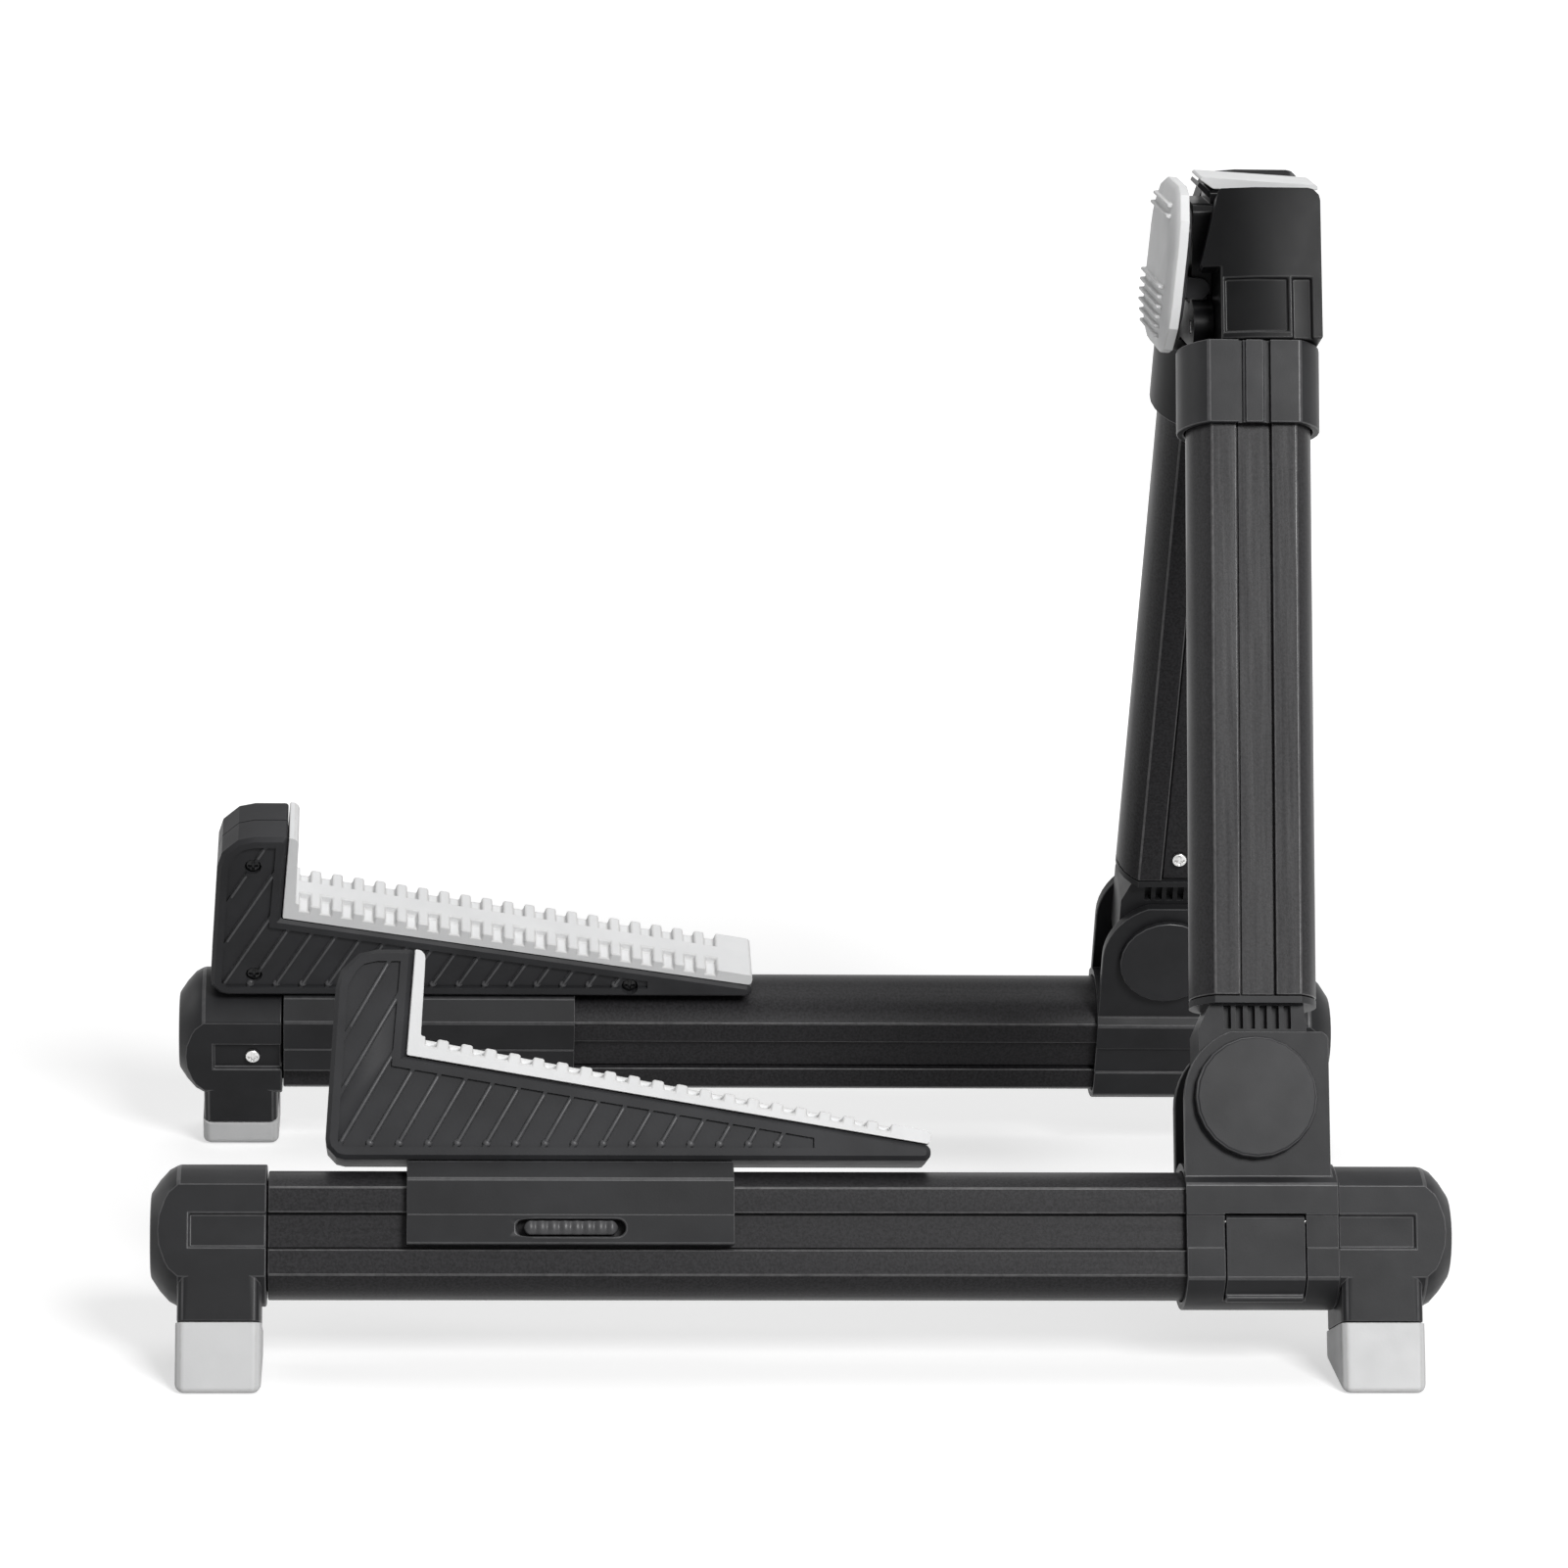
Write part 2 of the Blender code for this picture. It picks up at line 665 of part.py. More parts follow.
def knuckle():
    """Tongue on the pivot, ribbed shoulder, flange under the tube and plug inside it."""
    shoulder = FLANGE_TOP - FLANGE_THICKNESS
    overlap = shoulder + FLANGE_THICKNESS / 2
    half_top = TONGUE_RADIUS - SHOULDER_TAPER
    middle = upright_x(shoulder)
    outline = arc(PIVOT_X, PIVOT_HEIGHT, TONGUE_RADIUS, math.pi, 2 * math.pi)
    outline += [
        (PIVOT_X + TONGUE_RADIUS, shoulder - SHOULDER_HEIGHT),
        (middle + half_top, overlap),
        (middle - half_top, overlap),
        (PIVOT_X - TONGUE_RADIUS, shoulder - SHOULDER_HEIGHT),
    ]
    tongue = prism(outline, -TONGUE_HALF, TONGUE_HALF, "n")
    flange = along_upright(tube_section(TUBE_RADIUS, TUBE_FLAT), shoulder, FLANGE_TOP)
    plug = along_upright(bore_outline(GAP), overlap, FLANGE_TOP + SPIGOT_LENGTH)
    pockets = []
    first = middle - POCKET_PITCH * (POCKET_COUNT - 1) / 2
    for index in range(POCKET_COUNT):
        x = first + index * POCKET_PITCH
        for side in (-1, 1):
            face = side * TONGUE_HALF
            pockets.append(box(x - POCKET_WIDTH / 2, x + POCKET_WIDTH / 2,
                               face - POCKET_DEPTH, face + POCKET_DEPTH,
                               shoulder - POCKET_HEIGHT, shoulder - GAP))
    x, u = knuckle_screw_place()
    pin_hole = rod(PIVOT_PIN_RADIUS + GAP, -TONGUE_HALF - GAP, TONGUE_HALF + GAP, "n",
                   (PIVOT_X, PIVOT_HEIGHT))
    body = joined(tongue, flange, plug)
    return cut(body, gathered(pockets), pin_hole, screw_hole(x, u, GAP - TUBE_FLAT + CHANNEL_DEPTH, -1))


def knuckle_screw():
    """The screw through the tube's inner channel into the plug."""
    x, u = knuckle_screw_place()
    return screw(x, u, CHANNEL_DEPTH - TUBE_FLAT, -1)


# Upright top

def collar():
    """A ring round the upright's top, its flats marked by a strip between two grooves."""
    ring = along_upright(tube_section(SLEEVE_RADIUS, SLEEVE_FLAT), COLLAR_BOTTOM, COLLAR_TOP)
    bore = along_upright(tube_section(TUBE_RADIUS + GAP, TUBE_FLAT + GAP),
                         COLLAR_BOTTOM - GAP, COLLAR_TOP + GAP)
    grooves = []
    for side in (-1, 1):
        low, high = sorted((side * (SLEEVE_FLAT - COLLAR_GROOVE), side * (SLEEVE_FLAT + COLLAR_GROOVE)))
        for edge in (-1, 1):
            start = edge * COLLAR_CHANNEL_HALF - COLLAR_GROOVE_WIDTH / 2
            end = start + COLLAR_GROOVE_WIDTH
            section = [(low, start), (high, start), (high, end), (low, end)]
            grooves.append(along_upright(section, COLLAR_BOTTOM - GAP, COLLAR_TOP + GAP))
    return cut(ring, bore, gathered(grooves))


def leg_n_of_upright_wall(u):
    """The leg's n, at height u, of the vertical plane just outside the yoke's side."""
    plane = YOKE_HALF + GAP
    return (plane - HALF_SPACING + u * math.sin(LEAN)) / math.cos(LEAN)


def block_face(x):
    """The outer face's n at x: square to n behind the crease and turned away in front of it."""
    return BLOCK_OUTER - max(0.0, BLOCK_CREASE - x) * math.tan(BLOCK_FACET)


def head_fitting():
    """The leg's top block: plug in the tube, lug on the hinge pin, face that rests on the yoke."""
    bottom = COLLAR_TOP + GAP
    side_outline = rounded(
        [
            (BLOCK_FRONT, bottom),
            (BLOCK_BACK, bottom),
            (BLOCK_BACK, BLOCK_TOP),
            (BLOCK_FRONT, BLOCK_TOP),
            (BLOCK_FRONT - BLOCK_FLARE, BLOCK_FLARE_BOTTOM),
            (BLOCK_FRONT, BLOCK_FLARE_BOTTOM),
        ],
        [0, 0, BLOCK_CORNER, BLOCK_FLARE_TOP_CORNER, BLOCK_FLARE_LOW_CORNER, 0],
    )
    turn = (HALF_SPACING - YOKE_HALF - GAP - BLOCK_INNER * math.cos(LEAN)) / math.sin(LEAN)
    end_outline = [
        (-BLOCK_INNER, bottom),
        (BLOCK_OUTER, bottom),
        (BLOCK_OUTER, BLOCK_TOP + GAP),
        (leg_n_of_upright_wall(BLOCK_TOP + GAP), BLOCK_TOP + GAP),
        (-BLOCK_INNER, turn),
    ]
    front = BLOCK_FRONT - BLOCK_FLARE
    block = common(prism(side_outline, -2 * BLOCK_OUTER, 2 * BLOCK_OUTER, "n"),
                   prism(end_outline, front - GAP, BLOCK_BACK + GAP, "x"))
    facet = prism([(BLOCK_CREASE, BLOCK_OUTER), (BLOCK_CREASE, 2 * BLOCK_OUTER),
                   (front - GAP, 2 * BLOCK_OUTER), (front - GAP, block_face(front - GAP))],
                  bottom - GAP, BLOCK_TOP + GAP, "u")
    flare_relief = box(front - GAP, BLOCK_FRONT, -2 * BLOCK_OUTER, BLOCK_FLARE_INNER,
                       bottom, BLOCK_TOP + GAP)
    panel_start = BLOCK_FRONT + PANEL_FRONT_RIM
    panel_end = BLOCK_BACK - PANEL_BACK_RIM
    panel_top = PIN_HEIGHT_ON_LEG + PANEL_RISE
    panel = prism([(panel_start, block_face(panel_start) - PANEL_DEPTH),
                   (BLOCK_CREASE, BLOCK_OUTER - PANEL_DEPTH),
                   (panel_end, BLOCK_OUTER - PANEL_DEPTH), (panel_end, 2 * BLOCK_OUTER),
                   (panel_start, 2 * BLOCK_OUTER)],
                  bottom + PANEL_SILL, panel_top, "u")
    strip = box(panel_end + STRIP_RIB, BLOCK_BACK - STRIP_BACK_RIM,
                BLOCK_OUTER - PANEL_DEPTH, 2 * BLOCK_OUTER, bottom - GAP, panel_top)
    ear_room = box(BLOCK_BACK - REAR_EAR_LENGTH - GAP, BLOCK_BACK + GAP, -2 * BLOCK_OUTER,
                   EAR_RADIUS - PIN_INSET + 2 * GAP, bottom - GAP, PIN_HEIGHT_ON_LEG + EAR_RADIUS + 2 * GAP)
    pin_hole = rod(HINGE_PIN_RADIUS + GAP, front - GAP, BLOCK_BACK + GAP, "x",
                   (-PIN_INSET, PIN_HEIGHT_ON_LEG))
    block = cut(block, facet, flare_relief, panel, strip, ear_room)
    plug = along_upright(bore_outline(GAP), TUBE_TOP - SPIGOT_LENGTH, bottom + GAP)
    return cut(joined(block, plug), pin_hole)


# Head

def ears(start, end):
    """A pair of ears round the hinge pins, joined by a neck through the middle."""
    neck = box(start, end, -HINGE_HALF, HINGE_HALF, HINGE_HEIGHT - EAR_NECK, HINGE_HEIGHT + EAR_NECK)
    return joined(neck,
                  rod(EAR_RADIUS, start, end, "x", (HINGE_HALF, HINGE_HEIGHT), ROUND_STEPS),
                  rod(EAR_RADIUS, start, end, "x", (-HINGE_HALF, HINGE_HEIGHT), ROUND_STEPS))


def head_yoke():
    """Web between the legs' top blocks, hinge ears at both ends, a front plate and a raised lip."""
    web = prism(rectangle(-YOKE_HALF, YOKE_HALF, YOKE_BOTTOM, YOKE_TOP, YOKE_CORNER),
                YOKE_FACE - 2 * GAP, BLOCK_BACK, "x")
    low = YOKE_PLATE_LOW_CORNER
    top = YOKE_PLATE_TOP_CORNER
    plate = prism(rounded([(-YOKE_PLATE_HALF, YOKE_PLATE_BOTTOM), (YOKE_PLATE_HALF, YOKE_PLATE_BOTTOM),
                           (YOKE_PLATE_HALF, YOKE_PLATE_TOP), (-YOKE_PLATE_HALF, YOKE_PLATE_TOP)],
                          [low, low, top, top]),
                  YOKE_FRONT, YOKE_FACE, "x")
    root = YOKE_TOP - LIP_DROP
    tip = YOKE_TOP + LIP_RISE
    lip = prism([(YOKE_FACE, root - LIP_ROOT), (YOKE_FACE, root),
                 (YOKE_FACE - LIP_LENGTH + LIP_TIP / 2, tip),
                 (YOKE_FACE - LIP_LENGTH, tip - LIP_TIP)],
                LIP_INSET - YOKE_HALF, YOKE_HALF - LIP_INSET, "n")
    body = joined(web, plate, lip, ears(YOKE_FRONT, YOKE_FACE),
                  ears(BLOCK_BACK - REAR_EAR_LENGTH, BLOCK_BACK))
    holes = []
    for side in (-1, 1):
        holes.append(rod(HINGE_PIN_RADIUS + GAP, YOKE_FRONT - GAP, BLOCK_BACK + GAP, "x",
                         (side * HINGE_HALF, HINGE_HEIGHT)))
    rocker_hole = rod(ROCKER_PIN_RADIUS + GAP, -YOKE_PLATE_HALF - GAP, YOKE_PLATE_HALF + GAP, "n",
                      (ROCKER_X, ROCKER_HEIGHT))
    return cut(body, gathered(holes), rocker_hole)


def hinge_pin(sign):
    """The pin along X that one leg turns on."""
    return rod(HINGE_PIN_RADIUS, YOKE_FRONT, BLOCK_BACK, "x", (sign * HINGE_HALF, HINGE_HEIGHT))


def head_top_pad():
    """The pale rubber cap on the yoke, thicker in front where it reaches over the lip."""
    low = YOKE_TOP + GAP
    end = BLOCK_BACK + TOP_PAD_OVERHANG
    outline = rounded(
        [
            (YOKE_FACE, low),
            (end, low),
            (end, low + TOP_PAD_REAR),
            (YOKE_FACE - TOP_PAD_NOSE + TOP_PAD_CORNER, YOKE_TOP + TOP_PAD_FRONT),
            (YOKE_FACE - TOP_PAD_NOSE, YOKE_TOP + TOP_PAD_FRONT - TOP_PAD_CORNER),
        ],
        [0, 0, TOP_PAD_CORNER, TOP_PAD_CORNER / 2, 0],
    )
    return prism(outline, -YOKE_HALF, YOKE_HALF, "n")


# Back pad, built upright in front of its pin and then tilted

def tilted(mesh):
    """The mesh turned about the rocker pin by the pad's tilt."""
    centre = Matrix.Translation((ROCKER_X, 0, ROCKER_HEIGHT))
    mesh.transform(centre @ Matrix.Rotation(PAD_TILT, 4, "Y") @ centre.inverted())
    return mesh


def pad_carrier():
    """The plate that carries the pad, with two lugs that straddle the yoke's front plate."""
    rear = ROCKER_X - CARRIER_SETBACK
    plate = prism(rectangle(-CARRIER_HALF_WIDTH, CARRIER_HALF_WIDTH, ROCKER_HEIGHT + CARRIER_LOW,
                            ROCKER_HEIGHT + CARRIER_HIGH, CARRIER_CORNER),
                  rear - CARRIER_THICKNESS, rear, "x")
    for side in (-1, 1):
        near = side * (YOKE_PLATE_HALF + GAP)
        low, high = sorted((near, near + side * LUG_THICKNESS))
        outline = arc(ROCKER_X, ROCKER_HEIGHT, ROCKER_BOSS, -math.pi / 2, math.pi / 2)
        outline += [(rear - GAP, ROCKER_HEIGHT + ROCKER_BOSS), (rear - GAP, ROCKER_HEIGHT - ROCKER_BOSS)]
        plate = joined(plate, prism(outline, low, high, "n"))
    reach = rocker_pin_reach() + GAP
    hole = rod(ROCKER_PIN_RADIUS + GAP, -reach, reach, "n", (ROCKER_X, ROCKER_HEIGHT))
    return tilted(cut(plate, hole))


def rocker_pin_reach():
    """The rocker pin's half length; it ends inside the lugs, under a thin skin."""
    return YOKE_PLATE_HALF + LUG_THICKNESS - LUG_SKIN


def rocker_pin():
    """The pin across the yoke's front plate that the pad rocks on."""
    reach = rocker_pin_reach()
    return rod(ROCKER_PIN_RADIUS, -reach, reach, "n", (ROCKER_X, ROCKER_HEIGHT))


def back_pad():
    """The pale rubber pad: a thin edge, a low crown and ribs across it, with a bare band between."""
    rear = ROCKER_X - CARRIER_SETBACK - CARRIER_THICKNESS - GAP
    low = ROCKER_HEIGHT + PAD_LOW
    high = ROCKER_HEIGHT + PAD_HIGH
    flat = rectangle(-PAD_HALF_WIDTH, PAD_HALF_WIDTH, low, high, PAD_CORNER)
    rings = [(flat, rear)]
    for across, up in PAD_CROWN_STEPS:
        inset = across * PAD_SHOULDER
        ring = rectangle(inset - PAD_HALF_WIDTH, PAD_HALF_WIDTH - inset, low + inset, high - inset,
                         PAD_CORNER - inset)
        rings.append((ring, rear - PAD_EDGE - up * PAD_CROWN))
    body = lofted(rings, "x")
    crown = rear - PAD_EDGE - PAD_CROWN
    heights = [low + PAD_RIB_MARGIN + PAD_RIB_PITCH * index for index in range(PAD_RIBS_LOW)]
    heights += [high - PAD_RIB_MARGIN - PAD_RIB_PITCH * index for index in range(PAD_RIBS_HIGH)]
    for height in heights:
        from_edge = min(height - low, high - height, PAD_SHOULDER)
        top = crown - PAD_RIB + (PAD_SHOULDER - from_edge) * PAD_RIB_FALL
        half = PAD_RIB_HALF_LENGTH - (PAD_SHOULDER - from_edge) * PAD_RIB_SHORTENING
        root = crown + PAD_RIB_ROOT
        outline = [(root, height - PAD_RIB_WIDTH / 2), (root, height + PAD_RIB_WIDTH / 2),
                   (top, height + PAD_RIB_WIDTH / 4), (top, height - PAD_RIB_WIDTH / 4)]
        body = joined(body, prism(outline, -half, half, "n"))
    return tilted(body)


# Caps and boots; the front end is built as if it were at +X and then turned over

def cap_start(end):
    """Where the cap meets the tube, measured from the middle."""
    return FRONT_CAP_START if end == "front" else SLEEVE_END


def foot_span(end):
    """Start and end of the foot leg along the tube."""
    stop = HALF_LENGTH - (FRONT_FOOT_INSET if end == "front" else REAR_FOOT_INSET)
    return stop - FOOT_LENGTH, stop


def cap(end):
    """End cap: blunt nose with flats, channel, foot leg with a stub below, plug inside the tube."""
    start = cap_start(end)
    nose = HALF_LENGTH - CAP_NOSE_LENGTH
    profile = [(CAP_RADIUS, start)]
    for step in range(NOSE_STEPS + 1):
        share = step / NOSE_STEPS
        radius = CAP_RADIUS - (CAP_RADIUS - CAP_NOSE_RADIUS) * share ** CAP_NOSE_POWER
        profile.append((radius, nose + CAP_NOSE_LENGTH * share))
    flats = box(start - GAP, HALF_LENGTH + GAP, -CAP_FLAT, CAP_FLAT, -2 * CAP_RADIUS, 2 * CAP_RADIUS)
    body = common(turned(profile, "x", (0, 0)), flats)
    foot_start, foot_end = foot_span(end)
    foot = prism(rectangle(foot_start, foot_end, -CAP_FLAT, CAP_FLAT, FOOT_CORNER), -FOOT_BOTTOM, 0, "u")
    inset = FOOT_STUB_INSET
    stub = prism(rectangle(foot_start + inset, foot_end - inset, inset - CAP_FLAT, CAP_FLAT - inset,
                           FOOT_STUB_CORNER),
                 -FOOT_BOTTOM - FOOT_STUB, -FOOT_BOTTOM / 2, "u")
    plug = prism(bore_outline(GAP), start - SPIGOT_LENGTH, start + GAP, "x")
    body = joined(body, foot, stub, plug)
    stop = HALF_LENGTH - CAP_CHANNEL_STOP
    channels = [box(start - GAP, stop, side * CAP_FLAT - CHANNEL_DEPTH, side * CAP_FLAT + CHANNEL_DEPTH,
                    -CAP_CHANNEL_HALF, CAP_CHANNEL_HALF) for side in (-1, 1)]
    hole = screw_hole(HALF_LENGTH - CAP_SCREW_SETBACK, 0, CHANNEL_DEPTH - CAP_FLAT, -1)
    return facing(cut(body, gathered(channels), hole), end)


def facing(mesh, end):
    """The mesh as it is for the rear end, or turned over to -X for the front end."""
    if end == "front":
        mesh.transform(Matrix.Scale(-1, 4, (1, 0, 0)))
        mesh.flip_normals()
    return mesh


def cap_screw(end):
    """The silver screw in a cap's inner channel."""
    return facing(screw(HALF_LENGTH - CAP_SCREW_SETBACK, 0, CHANNEL_DEPTH - CAP_FLAT, -1), end)


def ground(n):
    """The floor's u, in the leg's frame, at the given n."""
    return -(AXIS_HEIGHT + n * math.sin(LEAN)) / math.cos(LEAN)


def boot(end):
    """Rubber boot on the foot leg: a pocket for the stub above, a sole that lies flat on the floor."""
    start, stop = foot_span(end)
    top = -FOOT_BOTTOM - GAP
    start -= GAP
    stop += GAP
    column = prism(rectangle(start, stop, -BOOT_HALF, BOOT_HALF, FOOT_CORNER),
                   ground(2 * BOOT_HALF), top, "u")
    wedge = prism([(-2 * BOOT_HALF, ground(-2 * BOOT_HALF)), (2 * BOOT_HALF, ground(2 * BOOT_HALF)),
                   (2 * BOOT_HALF, top + GAP), (-2 * BOOT_HALF, top + GAP)], start - GAP, stop + GAP, "x")
    inset = FOOT_STUB_INSET - GAP
    pocket = prism(rectangle(start + GAP + inset, stop - GAP - inset, inset - CAP_FLAT, CAP_FLAT - inset,
                             FOOT_STUB_CORNER),
                   -FOOT_BOTTOM - FOOT_STUB - GAP, top + GAP, "u")
    return facing(cut(common(column, wedge), pocket), end)


# Cradle

def arm_corners():
    """The arm's corners in (x, u), counter-clockwise from the lower corner under the hook."""
    left = -ARM_OVERHANG
    right = ARM_LENGTH - ARM_OVERHANG
    top = ARM_BOTTOM + HOOK_HEIGHT
    shelf = ARM_BOTTOM + SHELF_HEIGHT
    tip = ARM_BOTTOM + SHELF_TIP_HEIGHT
    return [
        (left, ARM_BOTTOM),
        (right, ARM_BOTTOM),
        (right, tip),
        (SHELF_START, shelf),
        (left + HOOK_LEAN + HOOK_TOP_WIDTH, top),
        (left + HOOK_LEAN, top),
    ]


def arm_outline(inset=0.0):
    """The arm's outline with its rounded corners, moved in by an inset that keeps each corner round."""
    radii = [ARM_CORNER, ARM_TIP_CORNER, ARM_TIP_CORNER, 0, HOOK_TOP_CORNER, HOOK_CORNER]
    kept = [max(radius - inset, radius / 2) for radius in radii]
    return rounded(moved_in(arm_corners(), [inset] * len(radii)), kept)


def panel_outline():
    """The recessed panel: the arm's outline moved in by the rim, stopping short of the thin tip."""
    rim = ARM_RIM
    corners = moved_in(arm_corners(), [rim, ARM_PANEL_TIP, rim, rim, rim, rim])
    return rounded(corners, [ARM_CORNER - rim, 0, 0, 0, 0, HOOK_CORNER - rim])


def arm_ribs(low, high):
    """Slanted bars across the panel, one pitch apart."""
    bars = []
    slope = Vector((math.cos(ARM_RIB_ANGLE), math.sin(ARM_RIB_ANGLE)))
    reach = HOOK_HEIGHT / slope.y
    half_width = ARM_RIB_WIDTH / 2 / math.sin(ARM_RIB_ANGLE)
    for index in range(-HOOK_RIB_COUNT, ARM_RIB_COUNT):
        foot = Vector((ARM_RIB_FIRST - ARM_OVERHANG + index * ARM_RIB_PITCH, ARM_BOTTOM + ARM_RIM))
        lower = foot - slope * ARM_RIM
        upper = foot + slope * reach
        outline = [(lower.x - half_width, lower.y), (lower.x + half_width, lower.y),
                   (upper.x + half_width, upper.y), (upper.x - half_width, upper.y)]
        bars.append(prism(outline, low, high, "n"))
    return gathered(bars)


def arm_shell(side):
    """One half of the arm, with a rim round a ribbed panel; the inner half has the screw holes."""
    shell = lofted([(arm_outline(), side * GAP / 2), (arm_outline(), side * (ARM_HALF - ARM_EDGE)),
                    (arm_outline(ARM_EDGE), side * ARM_HALF)], "n")
    floor = side * (ARM_HALF - ARM_PANEL_DEPTH)
    above = side * (ARM_HALF + ARM_PANEL_DEPTH)
    panel_low, panel_high = sorted((floor, above))
    panel = prism(panel_outline(), panel_low, panel_high, "n")
    shell = cut(shell, cut(panel, arm_ribs(panel_low - GAP, panel_high + GAP)))
    if side > 0:
        holes = [rod(SCREW_RADIUS + GAP, -GAP, SCREW_LENGTH, "n", place, SMALL_STEPS)
                 for place in cradle_screw_places()]
        return cut(shell, gathered(holes))
    seat = cradle_screw_seat()
    bores = [turned([(SCREW_HEAD_RADIUS + GAP, -ARM_HALF - GAP), (SCREW_HEAD_RADIUS + GAP, seat),
                     (SCREW_RADIUS + GAP, seat), (SCREW_RADIUS + GAP, GAP)], "n", place, SMALL_STEPS)
             for place in cradle_screw_places()]
    return cut(shell, gathered(bores))


def cradle_screw_places():
    """Where the screws go: high and low in the hook, and under the shelf's thin end."""
    hook = HOOK_SCREW_INSET - ARM_OVERHANG
    return [
        (hook, ARM_BOTTOM + HOOK_SCREW_HIGH),
        (hook, ARM_BOTTOM + HOOK_SCREW_LOW),
        (SADDLE_LENGTH + TIP_SCREW_BEYOND, ARM_BOTTOM + TIP_SCREW_HEIGHT),
    ]


def cradle_screw_seat():
    """The face inside the inner shell that the screw heads bear on."""
    return SCREW_HEAD_HEIGHT * 2 + GAP - ARM_HALF


def cradle_screw(place):
    """One of the screws that hold the two shells together."""
    x, u = place
    seat = cradle_screw_seat()
    return screw(x, u, seat, -1, SCREW_LENGTH + seat - 2 * GAP)


def saddle():
    """The saddle: wraps the base tube to below its middle, with ribs that ride in the channels."""
    top = ARM_BOTTOM - GAP
    half = SADDLE_HALF
    step = SADDLE_HALF - SADDLE_STEP_DEPTH
    right = [(half, -SADDLE_SKIRT), (half, SADDLE_STEP), (step, SADDLE_STEP), (step, SADDLE_LEDGE),
             (ARM_HALF, top)]
    left = [(-a, b) for a, b in reversed(right)]
    body = prism(right + left, 0, SADDLE_LENGTH, "x")
    reach = 2 * SADDLE_SKIRT
    room = tube_section(TUBE_RADIUS + GAP, TUBE_FLAT + GAP)
    rib_floor = TUBE_FLAT + GAP - SADDLE_RIB_DEPTH
    bore = prism(room, -GAP, SADDLE_LENGTH + GAP, "x")
    ribs = [box(0, SADDLE_LENGTH, low, high, -SADDLE_RIB_HALF + GAP, SADDLE_RIB_HALF)
            for low, high in ((-TUBE_FLAT - 2 * GAP, -rib_floor), (rib_floor, TUBE_FLAT + 2 * GAP))]
    below = box(-GAP, SADDLE_LENGTH + GAP, -TUBE_RADIUS, TUBE_RADIUS, -TUBE_RADIUS - reach, -SADDLE_SKIRT)
    body = cut(body, bore, below)
    body = joined(body, *ribs)
    slot = box(LOCK_MIDDLE - LOCK_SLOT_LENGTH / 2, LOCK_MIDDLE + LOCK_SLOT_LENGTH / 2,
               0, 2 * SADDLE_HALF, -LOCK_SLOT_BOTTOM, LOCK_SLOT_TOP)
    return cut(body, slot)


def cradle_lock():
    """The thumb lock: a ridged slider in the middle of the skirt's slot, clear of the tube."""
    length = LOCK_SLOT_LENGTH - LOCK_TRAVEL - 2 * GAP
    start = LOCK_MIDDLE - length / 2
    back = TUBE_FLAT + 2 * GAP
    face = SADDLE_HALF + LOCK_PROUD
    crest = face + LOCK_RIDGE
    pitch = length / LOCK_RIDGE_COUNT
    outline = [(start, back), (start + length, back)]
    for index in reversed(range(LOCK_RIDGE_COUNT)):
        left = start + pitch * index
        outline.append((left + pitch * (1 - LOCK_RIDGE_FOOT), face))
        outline.append((left + pitch * (1 - LOCK_RIDGE_TOP), crest))
        outline.append((left + pitch * LOCK_RIDGE_TOP, crest))
        outline.append((left + pitch * LOCK_RIDGE_FOOT, face))
    return prism(outline, GAP - LOCK_SLOT_BOTTOM, LOCK_SLOT_TOP - GAP, "u")


def cradle_pad():
    """The L-shaped rubber: a strip up the hook, and on the shelf a raised band between grip pockets."""
    corners = arm_corners()
    shelf_start = Vector(corners[3])
    tip = Vector(corners[2])
    hook_top = Vector(corners[4])
    slope = (tip - shelf_start).normalized()
    normal = Vector((-slope.y, slope.x))
    rise = (hook_top - shelf_start).normalized()
    face = Vector((rise.y, -rise.x))
    foot = shelf_start + normal * GAP + face * GAP
    outline = [
        tuple(foot),
        tuple(tip + normal * GAP - slope * GAP),
        tuple(tip + normal * (GAP + SHELF_PAD_TIP) - slope * GAP),
        tuple(foot + normal * SHELF_PAD_THICKNESS + face * HOOK_PAD_THICKNESS),
        tuple(hook_top + face * (GAP + HOOK_PAD_THICKNESS)),
        tuple(hook_top + face * GAP),
    ]
    radii = [0, SHELF_PAD_LOW_CORNER, SHELF_PAD_TIP_CORNER, SHELF_PAD_ROOT_CORNER, HOOK_PAD_CORNER, 0]
    body = prism(rounded(outline, radii), -CRADLE_PAD_HALF, CRADLE_PAD_HALF, "n")
    pockets = []
    fall = (SHELF_PAD_THICKNESS - SHELF_PAD_TIP) / (tip - shelf_start).length
    for index in range(GRIP_COUNT):
        run = HOOK_PAD_THICKNESS + GRIP_PITCH * (index + GRIP_START)
        thickness = SHELF_PAD_THICKNESS - fall * run
        middle = foot + slope * run + normal * thickness
        across = slope * (GRIP_PITCH - GRIP_WIDTH) / 2
        lower = middle - normal * min(GRIP_DEPTH, thickness - GRIP_FLOOR)
        upper = middle + normal * GRIP_DEPTH
        outline = [tuple(lower - across), tuple(lower + across),
                   tuple(upper + across * GRIP_DRAFT), tuple(upper - across * GRIP_DRAFT)]
        pockets.append(prism(outline, GRIP_BAND_HALF, 2 * CRADLE_PAD_HALF, "n"))
        pockets.append(prism(outline, -2 * CRADLE_PAD_HALF, -GRIP_BAND_HALF, "n"))
    return cut(body, gathered(pockets))


# Placing

def pivot_empty(name, location, parent=None, lean=0.0):
    """A guide that stands on a joint's axis."""
    guide = bpy.data.objects.new(name, None)
    guide.empty_display_size = GUIDE_SIZE
    guide.parent = parent
    guide.location = location
    guide.rotation_euler = (lean, 0, 0)
    guide.hide_render = True
    bpy.context.scene.collection.objects.link(guide)
    return guide


